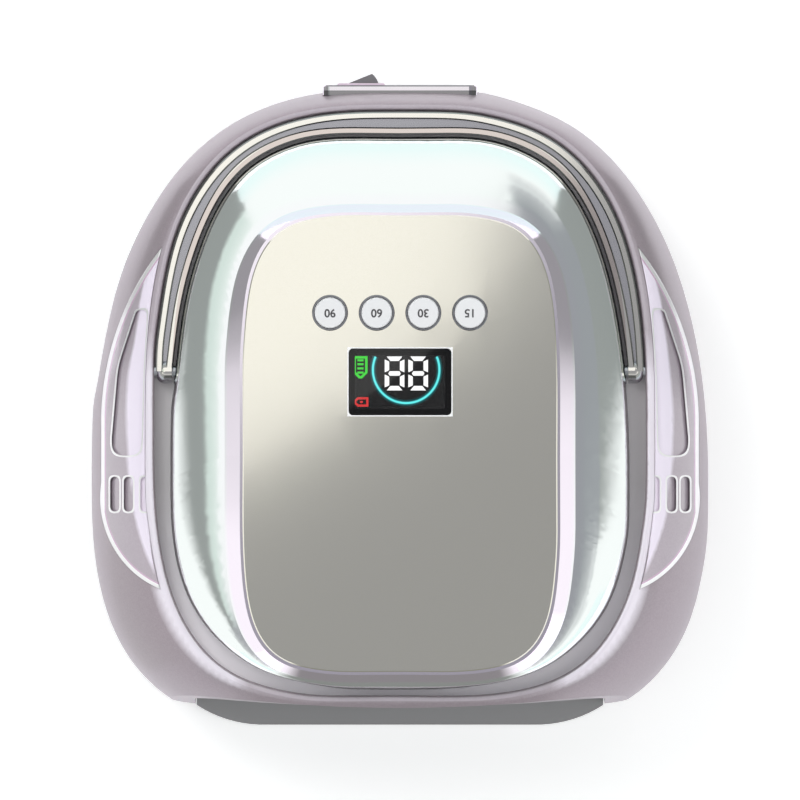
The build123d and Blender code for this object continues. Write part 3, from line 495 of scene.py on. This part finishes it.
def circle_through(a, b, c):
    """Centre and radius of the circle through three places."""
    ax, ay, bx, by, cx, cy = *a, *b, *c
    aa, bb, cc = ax ** 2 + ay ** 2, bx ** 2 + by ** 2, cx ** 2 + cy ** 2
    turn = 2 * (ax * (by - cy) + bx * (cy - ay) + cx * (ay - by))
    x = (aa * (by - cy) + bb * (cy - ay) + cc * (ay - by)) / turn
    y = (aa * (cx - bx) + bb * (ax - cx) + cc * (bx - ax)) / turn
    return Vector((x, y, 0)), math.hypot(ax - x, ay - y)


trim_rear_arc = [(81.2, 59.7), (102.3, 24.0), (107.5, -10.0)]
trim_front_arc = [(107.5, -30.0), (100.7, -56.5), (79.8, -69.7)]
trim_side_x = 107.5


def depth_inside_trim(add, place):
    """How many millimetres a place lies inside the trim's outer edge."""
    spot, across, along = folded(add, place)
    depth = add("Math", {0: trim_side_x, 1: across}, operation="SUBTRACT")
    for arc, way, joint in ((trim_front_arc, "LESS_THAN", 0), (trim_rear_arc, "GREATER_THAN", 2)):
        centre, radius = circle_through(*arc)
        reach = add("VectorMath", {0: spot, 1: centre}, operation="DISTANCE")
        arc_depth = add("Math", {0: radius, 1: reach.outputs["Value"]}, operation="SUBTRACT")
        beside = add("Math", {0: along, 1: arc[joint][1]}, operation=way)
        near = add("Mix", {"Factor": beside, "A": depth, "B": arc_depth})
        depth = add("Math", {0: depth, 1: near}, operation="MINIMUM")
    return depth


print("radius of the front arc in mm:", round(circle_through(*trim_front_arc)[1], 1))

# %% [markdown]
# The pocket's outline is seven straight edges with rounded corners. How far a
# place lies outside it is how far it lies beyond the edge that it is furthest
# beyond, and a smooth maximum rounds the corners. A wider blend rounds more, so
# each corner's blend is worked out from its radius and its angle. One corner bends
# inwards, and there the smaller distance counts. The grip marks are short slots,
# measured from their middles.

# %% Measure the rims of the pocket and the grip marks
# Each corner of the pocket with its radius, and 0 for the corner that bends inwards
pocket_outline = [(92.8, -20.0, 4.0), (92.1, 9.4, 0.0), (90.6, 33.0, 1.9), (94.7, 32.0, 1.9),
                  (101.3, 12.2, 40.0), (103.6, -13.6, 20.0), (103.6, -20.0, 4.0)]
mark_places = [91.5, 97.5, 102.5]
mark_middle_y = -33.8
mark_half = (1.7, 6.3, 0)
mark_blend = 3.0


def outside_pocket(add, spot):
    """How many millimetres a folded place lies outside the pocket, and less than 0 inside it."""
    corners = [Vector((x, y, 0)) for x, y, _ in pocket_outline]
    past = None
    for number, (corner, (_, _, radius)) in enumerate(zip(corners, pocket_outline)):
        run = (corners[(number + 1) % len(corners)] - corner).normalized()
        back = (corners[number - 1] - corner).normalized()
        outward = Vector((-run.y, run.x, 0))
        lean = add("VectorMath", {0: spot, 1: outward}, operation="DOT_PRODUCT").outputs["Value"]
        beyond = add("Math", {0: lean, 1: outward.dot(corner)}, operation="SUBTRACT")
        # Where both distances are equal, a smooth maximum adds a sixth of its blend
        blend = 6 * radius * (1 - math.sin(run.angle(back) / 2))
        past = beyond if past is None else add("Math", {0: past, 1: beyond, 2: blend},
                                               operation="SMOOTH_MAX" if radius else "SMOOTH_MIN")
    return past


def outside_cuts(add, place):
    """How many millimetres a place lies outside the pocket and the grip marks."""
    spot, _, _ = folded(add, place)
    past = outside_pocket(add, spot)
    for x in mark_places:
        from_mark = add("VectorMath", {0: spot, 1: (x, mark_middle_y, 0)}, operation="SUBTRACT")
        away = add("VectorMath", {0: from_mark}, operation="ABSOLUTE")
        beyond = add("VectorMath", {0: away, 1: mark_half}, operation="SUBTRACT")
        sides = add("SeparateXYZ", {"Vector": beyond})
        off_mark = add("Math", {0: sides.outputs["X"], 1: sides.outputs["Y"], 2: mark_blend},
                       operation="SMOOTH_MAX")
        past = add("Math", {0: past, 1: off_mark}, operation="MINIMUM")
    return past


print("corners of the pocket:", len(pocket_outline), "and grip marks:", len(mark_places))

# %% [markdown]
# With the distances known, the finish is mixed: mauve where the trim falls away
# to the side and a painted lavender highlight on its flatter inner half, which
# narrows towards the front. The painted highlight lines are whiter and more
# metallic than the lacquer, and a painted pink reflection runs just inside the
# outer line.

# %% Finish the shoulder trims and paint their highlights
# Where the painted lavender highlight lies, and the widths of the painted lines
trim_highlight_slope = 0.58
trim_highlight_width = 0.03
trim_highlight_rise = 0.00009 / MM ** 2
edge_highlight_width = 1.3
pink_reflection_width = 0.5
rim_highlight_width = 0.55


def pearl_with_painted_edge_highlights():
    material, add, place = new_material("pearl_lacquer_with_painted_highlights")
    depth = depth_inside_trim(add, place)
    # Painted highlights: white lines along the outer edge and round the pocket and the grip marks
    outer_edge = add("Math", {0: depth, 1: edge_highlight_width}, operation="LESS_THAN")
    from_rim = add("Math", {0: outside_cuts(add, place), 1: rim_highlight_width / 2}, operation="SUBTRACT")
    off_rim = add("Math", {0: from_rim}, operation="ABSOLUTE")
    rim = add("Math", {0: off_rim, 1: rim_highlight_width / 2}, operation="LESS_THAN")
    edge = add("Math", {0: outer_edge, 1: rim}, operation="MAXIMUM")
    # Painted pink reflection just inside the outer white line
    pink = add("Math", {0: depth, 1: edge_highlight_width + pink_reflection_width}, operation="LESS_THAN")
    spot = add("SeparateXYZ", {"Vector": place})
    # Painted lavender highlight where the trim faces up, narrowing towards the front
    front = add("Math", {0: spot.outputs["Y"], 1: 0.0}, operation="MINIMUM")
    square = add("Math", {0: front, 1: front}, operation="MULTIPLY")
    rise = add("Math", {0: square, 1: trim_highlight_rise}, operation="MULTIPLY")
    level = add("Math", {0: steepness(add), 1: rise}, operation="SUBTRACT")
    inner_highlight = add("MapRange", {"Value": level, "From Min": trim_highlight_slope - trim_highlight_width,
                                  "From Max": trim_highlight_slope + trim_highlight_width})
    lacquer = add("Mix", {"Factor": inner_highlight, "A": flaked(add, place, "b9aeb7", "c1b6bf"),
                          "B": "faf0ff"}, data_type="RGBA")
    pink_reflected = add("Mix", {"Factor": pink, "A": lacquer, "B": "d9b9d2"}, data_type="RGBA")
    white_lines = add("Mix", {"Factor": edge, "A": pink_reflected, "B": "fbfafb"}, data_type="RGBA")
    mirrored = add("MapRange", {"Value": inner_highlight, "To Min": 0.2, "To Max": 0.05})
    shine = add("Mix", {"Factor": edge, "A": mirrored, "B": 0.6})
    gloss = add("MapRange", {"Value": edge, "To Min": 0.22, "To Max": 0.3})
    surface = add("BsdfPrincipled", {
        "Base Color": white_lines, "Metallic": shine, "Roughness": gloss,
        "Coat Weight": 0.5, "Coat Roughness": 0.05, "Normal": orange_peel(add, place)})
    return finished(material, surface)


dress(pearl_with_painted_edge_highlights(), "side_wing_left", "side_wing_right")

# %% [markdown]
# ## Mirror plating and champagne
#
# The cover is ABS with a vacuum-plated mirror: a film of aluminium under a clear
# lacquer with the faintest green cast, which turns to lavender on the step of the
# plateau, where the lacquer runs thin. Moulded plastic is never quite flat, so
# its reflections swim a little. The plate on top is champagne metallic, a
# warmer film that was given a satin bloom, and its reflections are soft. A thin
# white line runs round the window of the display, where the film was cut back.

# %% Plate the cover and the panel
step_low = 89.6 * MM
step_high = 91 * MM
window_line = 0.5 * MM


def vacuum_plated_mirror_abs():
    material, add, place = new_material("vacuum_plated_mirror_abs")
    spot = add("SeparateXYZ", {"Vector": place})
    on_step = add("MapRange", {"Value": spot.outputs["Z"], "From Min": step_low, "From Max": step_high})
    film = add("Mix", {"Factor": on_step, "A": "f7fdfb", "B": "fcf4fe"}, data_type="RGBA")
    plating = add("BsdfPrincipled", {
        "Base Color": film, "Metallic": 1.0, "Roughness": 0.11,
        "Normal": orange_peel(add, place, wave_mm=60, depth_mm=0.001)})
    return finished(material, plating)


def champagne_plated_panel():
    material, add, place = new_material("champagne_satin_plating")
    low, high = (Vector(corner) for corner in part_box("display_lens"))
    from_middle = add("VectorMath", {0: place, 1: (low + high) / 2}, operation="SUBTRACT")
    aside = add("VectorMath", {0: from_middle}, operation="ABSOLUTE")
    beyond = add("VectorMath", {0: aside, 1: (high - low) / 2}, operation="SUBTRACT")
    past = add("SeparateXYZ", {"Vector": beyond})
    off = add("Math", {0: past.outputs["X"], 1: past.outputs["Y"]}, operation="MAXIMUM")
    white_lines = add("Math", {0: off, 1: window_line}, operation="LESS_THAN")
    film = add("Mix", {"Factor": white_lines, "A": flaked(add, place, "f7f4e6", "f9f6e9", flake_mm=0.5),
                       "B": "ffffff"}, data_type="RGBA")
    shine = add("MapRange", {"Value": white_lines, "To Min": 1.0, "To Max": 0.0})
    plating = add("BsdfPrincipled", {
        "Base Color": film, "Metallic": shine, "Roughness": 0.12,
        "Normal": orange_peel(add, place, wave_mm=18, depth_mm=0.004)})
    return finished(material, plating)


dress(vacuum_plated_mirror_abs(), "top_cover")
dress(champagne_plated_panel(), "control_panel")

# %% [markdown]
# ## The carrying handle
#
# The handle is a die-cast bail with two raised beads and a groove between them.
# The crests of the beads carry painted highlights, cream white on the outer bead
# and rose-tan on the inner one, and the groove a painted blue grey reflection;
# the groove is also duller, because a polishing wheel can't reach into it. The
# bevelled flanks of both beads are painted dark, as dark reflections. A
# superellipse, the rounded square that the handle follows, tells the outer bead
# from the inner one, and the height tells crest, flank and groove apart.

# %% Plate the handle
bead_crest_z = 79.2 * MM
bead_bevel = 0.5 * MM
bead_flank_level = bead_crest_z - 0.04 * bead_bevel
groove_level = bead_crest_z - 1.02 * bead_bevel
bead_half_width = 82.2 * MM
bead_middle_y = -15.0 * MM
bead_rear_y = 99.3 * MM
bead_power = 3.0


def polished_handle():
    material, add, place = new_material("plated_die_cast_handle")
    spot = add("SeparateXYZ", {"Vector": place})
    across = add("Math", {0: spot.outputs["X"], 1: 1 / bead_half_width}, operation="MULTIPLY")
    side = add("Math", {0: across}, operation="ABSOLUTE")
    behind = add("Math", {0: spot.outputs["Y"], 1: -bead_middle_y}, operation="ADD")
    along = add("Math", {0: behind, 1: 1 / (bead_rear_y - bead_middle_y)}, operation="MULTIPLY")
    powers = [add("Math", {0: share, 1: bead_power}, operation="POWER") for share in (side, along)]
    reach = add("Math", {0: powers[0], 1: powers[1]}, operation="ADD")
    outer = add("Math", {0: reach, 1: 1.0}, operation="GREATER_THAN")
    crest = add("Math", {0: spot.outputs["Z"], 1: bead_flank_level}, operation="GREATER_THAN")
    low = add("Math", {0: spot.outputs["Z"], 1: groove_level}, operation="LESS_THAN")
    # Painted reflections: light crests, dark flanks and a blue grey groove
    crest_highlights = add("Mix", {"Factor": outer, "A": "dfd4cd", "B": "f8f5ec"}, data_type="RGBA")
    flank_dark_reflections = add("Mix", {"Factor": outer, "A": "605b5c", "B": "9fa09d"}, data_type="RGBA")
    beads = add("Mix", {"Factor": crest, "A": flank_dark_reflections, "B": crest_highlights}, data_type="RGBA")
    film = add("Mix", {"Factor": low, "A": beads, "B": "bbbabf"}, data_type="RGBA")
    gloss = add("MapRange", {"Value": low, "To Min": 0.08, "To Max": 0.25})
    plating = add("BsdfPrincipled", {"Base Color": film, "Metallic": 1.0, "Roughness": gloss})
    return finished(material, plating)


dress(polished_handle(), "handle_bail")

# %% [markdown]
# ## Buttons and their rings
#
# The caps are glossy white ABS, and the rings round them are plated in dark
# nickel. White plastic isn't pure white: it gives back about 85 percent of the
# light, which leaves room for its highlights.

# %% Finish the buttons
def glossy_moulded(name, hex_value, roughness=0.22):
    """Injection-moulded plastic from a polished tool, with very faint flow marks."""
    material, add, place = new_material(name)
    plastic = add("BsdfPrincipled", {
        "Base Color": hex_value, "Roughness": roughness,
        "Normal": orange_peel(add, place, wave_mm=6, depth_mm=0.002)})
    return finished(material, plastic)


def plated_metal(name, dark, bright, roughness):
    """Electroplated metal, with a polish that varies a little from place to place."""
    material, add, place = new_material(name)
    smear = add("TexNoise", {"Vector": place, "Scale": grain(1.5), "Detail": 3.0})
    film = add("Mix", {"Factor": smear, "A": dark, "B": bright}, data_type="RGBA")
    gloss = add("MapRange", {"Value": smear, "To Min": 0.7 * roughness, "To Max": 1.3 * roughness})
    plating = add("BsdfPrincipled", {"Base Color": film, "Metallic": 1.0, "Roughness": gloss})
    return finished(material, plating)


button_names = ["90", "60", "30", "15"]
dress(glossy_moulded("glossy_white_abs", "eeeef0"), *["button_" + name for name in button_names])
dress(plated_metal("dark_nickel_plating", "88888c", "9a9a9e", 0.15), "button_rings")

# %% [markdown]
# ## Smoked window
#
# The display sits behind a window of smoked acrylic. The tint swallows most of
# the light that goes through, so the black mask of the module underneath
# disappears and only lit figures show. The window's face has an anti-glare
# coat, which is why its gloss is set low.

# %% Smoke the window and mask the module
def smoked_acrylic():
    material, add, _ = new_material("smoked_acrylic")
    glass = add("BsdfPrincipled", {
        "Base Color": "8c8c8c", "Roughness": 0.02, "IOR": 1.49, "Specular IOR Level": 0.1,
        "Transmission Weight": 1.0})
    return finished(material, glass)


module_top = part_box("display_module")[1][2]
mask_thick = 0.5 * MM


def masked_display_module():
    material, add, place = new_material("moulded_module_with_black_mask")
    height = add("SeparateXYZ", {"Vector": place})
    mask = add("Math", {0: height.outputs["Z"], 1: module_top - mask_thick}, operation="GREATER_THAN")
    tone = add("Mix", {"Factor": mask, "A": "e4e4e2", "B": "040404"}, data_type="RGBA")
    plastic = add("BsdfPrincipled", {"Base Color": tone, "Roughness": 0.6})
    return finished(material, plastic)


dress(smoked_acrylic(), "display_lens")
dress(masked_display_module(), "display_module")

# %% [markdown]
# ## The grey tray and the bottom frame
#
# Both are ABS from a spark-eroded tool, whose fine pits leave an even, dull
# grain. The lip of the tray shows as a flat grey band in front of the shell. The
# same function, with coarser or deeper pits, serves nylon and rubber.

# %% Finish the tray and the frame
def spark_eroded_abs(name, hex_value, pit_mm=0.4, depth_mm=0.02, roughness=0.5):
    """Moulded plastic or rubber with fine pits, and a dullness that varies with them."""
    material, add, place = new_material(name)
    pits = add("TexNoise", {"Vector": place, "Scale": grain(pit_mm), "Detail": 2.0})
    rough = add("MapRange", {"Value": pits, "To Min": roughness - 0.1, "To Max": roughness + 0.1})
    grain_bump = add("Bump", {"Height": pits, "Distance": depth_mm * MM})
    plastic = add("BsdfPrincipled", {"Base Color": hex_value, "Roughness": rough, "Normal": grain_bump})
    return finished(material, plastic)


dress(spark_eroded_abs("grained_grey_abs_tray", "a2a1a2"), "base_tray")
dress(spark_eroded_abs("grained_grey_abs_frame", "77757a"), "bottom_frame")
dress(spark_eroded_abs("grained_black_abs", "222224"), "battery_cradle")
dress(spark_eroded_abs("moulded_black_nylon", "17171a", pit_mm=0.8), "tact_switches", "dc_jack")
dress(spark_eroded_abs("moulded_rubber", "1d1d1f", pit_mm=0.6, depth_mm=0.05, roughness=0.75),
      "rubber_feet", "tray_feet")

# %% [markdown]
# ## The hand cavity
#
# The liner and the sheet on the tray throw the light of the LEDs back on the
# nails from all sides. The liner is moulded and then vacuum-plated, bright but
# slightly frosted. The sheet is aluminised film laid on by hand, so it is a
# sharper mirror with long, shallow ripples.

# %% Line the cavity
def frosted_vacuum_plating():
    material, add, place = new_material("frosted_vacuum_plating")
    frost = add("TexNoise", {"Vector": place, "Scale": grain(0.5), "Detail": 2.0})
    gloss = add("MapRange", {"Value": frost, "To Min": 0.14, "To Max": 0.24})
    plating = add("BsdfPrincipled", {"Base Color": "e2e3e8", "Metallic": 1.0, "Roughness": gloss})
    return finished(material, plating)


def aluminised_film():
    material, add, place = new_material("aluminised_film")
    film = add("BsdfPrincipled", {
        "Base Color": "e8eaee", "Metallic": 1.0, "Roughness": 0.06,
        "Normal": orange_peel(add, place, wave_mm=30, depth_mm=0.05)})
    return finished(material, film)


dress(frosted_vacuum_plating(), "inner_reflector")
dress(aluminised_film(), "tray_reflector")

# %% [markdown]
# The LEDs are clear silicone domes on boards of aluminium with white solder
# mask. The sensor eyes beside the mouth look black: their plastic stops visible
# light and lets infra-red through.

# %% Finish the LED boards and the sensors
def clear_silicone():
    material, add, _ = new_material("clear_silicone_dome")
    silicone = add("BsdfPrincipled", {
        "Base Color": "f0ebfa", "Roughness": 0.03, "IOR": 1.41, "Transmission Weight": 0.85})
    return finished(material, silicone)


def white_solder_mask():
    material, add, place = new_material("white_solder_mask_on_aluminium")
    ink = add("TexNoise", {"Vector": place, "Scale": grain(4), "Detail": 2.0})
    tone = add("Mix", {"Factor": ink, "A": "e6e5e0", "B": "f0efec"}, data_type="RGBA")
    mask = add("BsdfPrincipled", {"Base Color": tone, "Roughness": 0.4})
    return finished(material, mask)


dress(clear_silicone(), "led_lenses")
dress(white_solder_mask(), "led_boards")
dress(glossy_moulded("infra_red_filter_plastic", "1a0d15", roughness=0.08), "hand_sensors")

# %% [markdown]
# ## Inside the housing
#
# The boards, cells and screws show only when the lamp is taken apart, but each
# has its own finish. A circuit board is green solder mask over copper: where a
# trace runs, the mask stands a little higher and looks paler. The cells wear a
# blue sleeve that was shrunk on with heat, which leaves shallow creases.

# %% Finish the boards and the cells
def green_solder_mask():
    material, add, place = new_material("green_solder_mask")
    traces = add("TexBrick", {
        "Vector": place, "Color1": "0c4a26", "Color2": "0f5a2e", "Mortar": "2c8a50",
        "Scale": grain(8), "Mortar Size": 0.04})
    raised = add("Bump", {"Height": traces.outputs["Fac"], "Distance": 0.03 * MM})
    mask = add("BsdfPrincipled", {
        "Base Color": traces.outputs["Color"], "Roughness": 0.3, "Normal": raised})
    return finished(material, mask)


def shrink_sleeve():
    material, add, place = new_material("blue_pvc_shrink_sleeve")
    creases = add("TexWave", {"Vector": place, "Scale": grain(30), "Distortion": 6.0, "Detail": 2.0})
    folds = add("Bump", {"Height": creases, "Distance": 0.05 * MM})
    sleeve = add("BsdfPrincipled", {"Base Color": "2f62a8", "Roughness": 0.28, "Normal": folds})
    return finished(material, sleeve)


dress(green_solder_mask(), "control_board", "power_board")
dress(shrink_sleeve(), "battery_cells")
dress(plated_metal("zinc_plated_steel", "b4b7bb", "cdd0d4", 0.3), "board_screws", "cradle_screws",
      "housing_screws", "handle_pin_left", "handle_pin_right")
dress(plated_metal("nickel_plated_magnet", "bdbbb4", "d2d0c8", 0.2), "frame_magnets", "tray_magnets")

# %% [markdown]
# ## The rear
#
# The frame round the switch is plated in a pale mauve. The edges of its upper
# side are painted grey as dark reflections, which leaves a painted bright stripe
# between them.
# The switch has a pink bezel and a dark grey rocker.

# %% Finish the rear frame and the switch
# Where the painted bright stripe on the frame's upper side lies
highlight_stripe_front_y = 111.3 * MM
highlight_stripe_rear_y = 112.7 * MM


def mauve_tinted_plating():
    material, add, place = new_material("mauve_tinted_plating")
    smear = add("TexNoise", {"Vector": place, "Scale": grain(12), "Detail": 3.0})
    film = add("Mix", {"Factor": smear, "A": "e9e4e9", "B": "f1ecf1"}, data_type="RGBA")
    along = add("SeparateXYZ", {"Vector": place})
    # Painted reflection: the upper side's edges are painted grey, leaving a bright stripe between them
    before = add("Math", {0: along.outputs["Y"], 1: highlight_stripe_front_y}, operation="LESS_THAN")
    behind = add("Math", {0: along.outputs["Y"], 1: highlight_stripe_rear_y}, operation="GREATER_THAN")
    edges = add("Math", {0: before, 1: behind}, operation="MAXIMUM")
    upper = add("Math", {0: steepness(add), 1: 0.5}, operation="GREATER_THAN")
    painted_dark_edges = add("Math", {0: edges, 1: upper}, operation="MULTIPLY")
    tone = add("Mix", {"Factor": painted_dark_edges, "A": film, "B": "8e8c8e"}, data_type="RGBA")
    plating = add("BsdfPrincipled", {"Base Color": tone, "Metallic": 1.0, "Roughness": 0.08})
    return finished(material, plating)


dress(mauve_tinted_plating(), "rear_plate")
dress(glossy_moulded("pale_pink_abs", "e2cddd"), "switch_body")
dress(glossy_moulded("dark_grey_abs", "7a787b", roughness=0.3), "rocker")

# %% [markdown]
# ## Numbers on the buttons
#
# Each cap carries its time in seconds, pad-printed in dark grey. The numbers
# read from the rear of the lamp, where the user sits across from the hand. A
# text object has the outlines of real figures, and made into a mesh it lies on
# the cap as a thin film of ink that moves with the button. Pad-printing spreads
# the ink a little, so the strokes are made a little heavier.

# %% Print the numbers
def settle(piece, body, material):
    """Fixes a piece's place in its mesh, gives it a finish and lets it ride on a body."""
    bpy.ops.object.select_all(action="DESELECT")
    piece.select_set(True)
    bpy.context.view_layer.objects.active = piece
    bpy.ops.object.convert(target="MESH")
    bpy.ops.object.transform_apply()
    piece.data.materials.clear()
    piece.data.materials.append(material)
    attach(piece, body)


def printing_ink():
    material, add, _ = new_material("dark_grey_printing_ink")
    ink = add("BsdfPrincipled", {"Base Color": "48464a", "Roughness": 0.6})
    return finished(material, ink)


ink_thick = 0.02 * MM
ink_spread = 0.09 * MM
number_size = 4.1 * MM
ink = printing_ink()

for name in button_names:
    low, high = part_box("button_" + name)
    place = ((low[0] + high[0]) / 2, (low[1] + high[1]) / 2, high[2] + ink_thick)
    bpy.ops.object.text_add(location=place, rotation=(0, 0, math.pi))
    number = bpy.context.active_object
    number.name = "number_" + name
    number.data.body = name
    number.data.size = number_size
    number.data.align_x = "CENTER"
    number.data.align_y = "CENTER"
    number.data.extrude = ink_thick / 2
    number.data.offset = ink_spread
    settle(number, "button_" + name + "_cap", ink)
print("numbers printed:", ", ".join(button_names))

# %% [markdown]
# ## What the display shows
#
# The lit figures are thin windows in the module's black mask. Each digit has
# seven bars. The six outer bars are one shape, a bar whose inner edge is cut
# back at both ends, set round the digit, and the middle one is a long hexagon.

# %% Helpers for flat figures
display_level = module_top + 0.05 * MM


def pick(piece, test):
    """Selects the corners of a piece that pass a test on their own place, and stays in edit mode."""
    bpy.ops.object.mode_set(mode="EDIT")
    bpy.ops.mesh.select_all(action="DESELECT")
    bpy.ops.object.mode_set(mode="OBJECT")
    for corner in piece.data.vertices:
        corner.select = test(corner.co)
    bpy.ops.object.mode_set(mode="EDIT")


def flat_bar(x_mm, y_mm, length_mm, thick_mm, turn=0.0, cut_mm=0.0):
    """A flat bar on the display. Its lower edge is cut back at both ends before it is turned."""
    bpy.ops.object.select_all(action="DESELECT")
    bpy.ops.mesh.primitive_plane_add(size=1.0, location=(x_mm * MM, y_mm * MM, display_level))
    bar = bpy.context.active_object
    bar.scale = (length_mm * MM, thick_mm * MM, 1)
    bpy.ops.object.transform_apply(location=False, rotation=False)
    for end in (-1, 1):
        pick(bar, lambda corner: corner.y < 0 and corner.x * end > 0)
        bpy.ops.transform.translate(value=(-end * cut_mm * MM, 0, 0))
        bpy.ops.object.mode_set(mode="OBJECT")
    bar.rotation_euler.z = turn
    return bar


def show(pieces, name, material):
    """Makes several flat figures one piece of the display."""
    bpy.ops.object.select_all(action="DESELECT")
    for piece in pieces:
        piece.select_set(True)
    bpy.context.view_layer.objects.active = pieces[0]
    bpy.ops.object.transform_apply()
    bpy.ops.object.join()
    pieces[0].name = name
    settle(pieces[0], "lamp", material)


def lit(name, hex_value, strength):
    """A lit figure. Its strength makes up for what the smoked window swallows."""
    material, add, _ = new_material(name)
    light = add("Emission", {"Color": hex_value, "Strength": strength})
    return finished(material, light)


print("height of the lit figures in mm:", round(display_level / MM, 2))

# %% [markdown]
# Both digits show an eight, with every bar lit, as a display does when it is
# tested. The upright bars are shorter than the crosswise ones and less cut back.

# %% Light the digits
digit_centres = [(-1.95, 9.5), (6.5, 9.5)]
digit_half_width = 2.72
digit_half_height = 5.27
bar_thick = 1.6
cross_bar, cross_cut = 5.6, 1.3
upright_bar, upright_cut = 4.6, 0.75
upright_y = 2.7
hexagon_stretch = 1.3

bars = []
for x, y in digit_centres:
    for side in (-1, 1):
        bars.append(flat_bar(x, y + side * digit_half_height, cross_bar, bar_thick,
                             turn=0 if side > 0 else math.pi, cut_mm=cross_cut))
        for end in (-1, 1):
            bars.append(flat_bar(x + side * digit_half_width, y + end * upright_y, upright_bar, bar_thick,
                                 turn=-side * math.pi / 2, cut_mm=upright_cut))
    bpy.ops.object.select_all(action="DESELECT")
    bpy.ops.mesh.primitive_circle_add(vertices=6, radius=bar_thick * MM / math.sqrt(3), fill_type="NGON",
                                      location=(x * MM, y * MM, display_level))
    middle = bpy.context.active_object
    for end in (-1, 1):
        pick(middle, lambda corner: corner.y * end > 0)
        bpy.ops.transform.translate(value=(0, end * hexagon_stretch * MM, 0))
        bpy.ops.object.mode_set(mode="OBJECT")
    middle.rotation_euler.z = math.pi / 2
    bars.append(middle)
print("bars in two digits:", len(bars))
show(bars, "display_digits", lit("lit_white", "ffffff", 4.5))

# %% [markdown]
# Round the digits runs a horseshoe of light: a bright cyan line with a teal glow
# on both sides. It is one narrow band made by the spin tool, and the material
# reads how far a place is from the centre to draw line and glow.

# %% Light the horseshoe
horseshoe_centre = (2.2, 10.8)
horseshoe_radius = 11.9
horseshoe_half_width = 1.25
horseshoe_end = math.radians(23)
horseshoe_steps = 60
core_edge = (0.25 * MM, 0.6 * MM)
glow_edge = (0.5 * MM, horseshoe_half_width * MM)
glow_share = (0.35, 0.02)
horseshoe_strength = 4.2
centre = Vector((horseshoe_centre[0] * MM, horseshoe_centre[1] * MM, display_level))


def horseshoe_light():
    material, add, place = new_material("lit_cyan_horseshoe")
    arm = add("VectorMath", {0: place, 1: centre}, operation="SUBTRACT")
    reach = add("VectorMath", {0: arm}, operation="LENGTH")
    off = add("Math", {0: reach.outputs["Value"], 1: horseshoe_radius * MM}, operation="SUBTRACT")
    away = add("Math", {0: off}, operation="ABSOLUTE")
    core, fade = (
        add("MapRange", {"Value": away, "From Min": near, "From Max": far, "To Min": most, "To Max": least})
        for (near, far), (most, least) in ((core_edge, (1.0, 0.0)), (glow_edge, glow_share)))
    tint = add("Mix", {"Factor": core, "A": "0a8c92", "B": "63f2f2"}, data_type="RGBA")
    strength = add("Math", {0: core, 1: fade}, operation="MAXIMUM")
    power = add("Math", {0: strength, 1: horseshoe_strength}, operation="MULTIPLY")
    light = add("Emission", {"Color": tint, "Strength": power})
    return finished(material, light)


start = (horseshoe_centre[0] + horseshoe_radius * math.cos(horseshoe_end),
         horseshoe_centre[1] + horseshoe_radius * math.sin(horseshoe_end))
horseshoe = flat_bar(*start, 2 * horseshoe_half_width, 0.1, turn=horseshoe_end)
bpy.ops.object.transform_apply()
inwards = Vector((math.sin(horseshoe_end), -math.cos(horseshoe_end), 0))
middle_of_bar = Vector((start[0] * MM, start[1] * MM, display_level))
pick(horseshoe, lambda corner: (corner - middle_of_bar).dot(inwards) > 0)
bpy.ops.mesh.spin(steps=horseshoe_steps, angle=math.pi + 2 * horseshoe_end, axis=(0, 0, 1), center=centre)
bpy.ops.object.mode_set(mode="OBJECT")
horseshoe.name = "display_horseshoe"
settle(horseshoe, "lamp", horseshoe_light())
print("faces in the horseshoe:", len(horseshoe.data.polygons))

# %% [markdown]
# Left of it stand two battery signs, a green one with four charge bars and a
# small red one. Each outline is a plane whose corners are bevelled to make the
# pointed end, then inset, with the middle taken out.

# %% Light the battery signs
def battery_outline(x_mm, y_mm, width_mm, height_mm, line_mm, point_mm, pointed):
    """A flat outline with its pointed end where the test says."""
    sign = flat_bar(x_mm, y_mm, width_mm, height_mm)
    pick(sign, pointed)
    bpy.ops.mesh.bevel(offset=point_mm * MM, affect="VERTICES")
    bpy.ops.mesh.select_all(action="SELECT")
    bpy.ops.mesh.inset(thickness=line_mm * MM)
    bpy.ops.mesh.delete(type="FACE")
    bpy.ops.object.mode_set(mode="OBJECT")
    return sign


charge_levels = [9.8, 11.3, 12.8, 14.2]
green = [battery_outline(-14.15, 11.7, 5.1, 8.0, 0.9, 2.0, lambda corner: corner.y < 0)]
green += [flat_bar(-14.15, level, 2.2, 0.75) for level in charge_levels]
show(green, "display_battery_full", lit("lit_green", "3ee03a", 3.6))
red = [battery_outline(-13.95, -0.7, 5.3, 3.4, 0.8, 1.4, lambda corner: corner.x < 0)]
red += [flat_bar(-13.8, -0.7, 1.0, 0.8)]
show(red, "display_battery_low", lit("lit_red", "e03434", 3.6))
print("shapes in the signs:", len(green), "green and", len(red), "red")

# %% [markdown]
# ## The sizes
#
# Ink and light lie on pieces that were there before, so the dressed lamp has to
# be as large as the frame it began with. The dressed lamp's size is written down.

# %% Write down the sizes
low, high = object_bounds()
print("dressed size in mm:", [round((b - a) / MM, 1) for a, b in zip(low, high)])
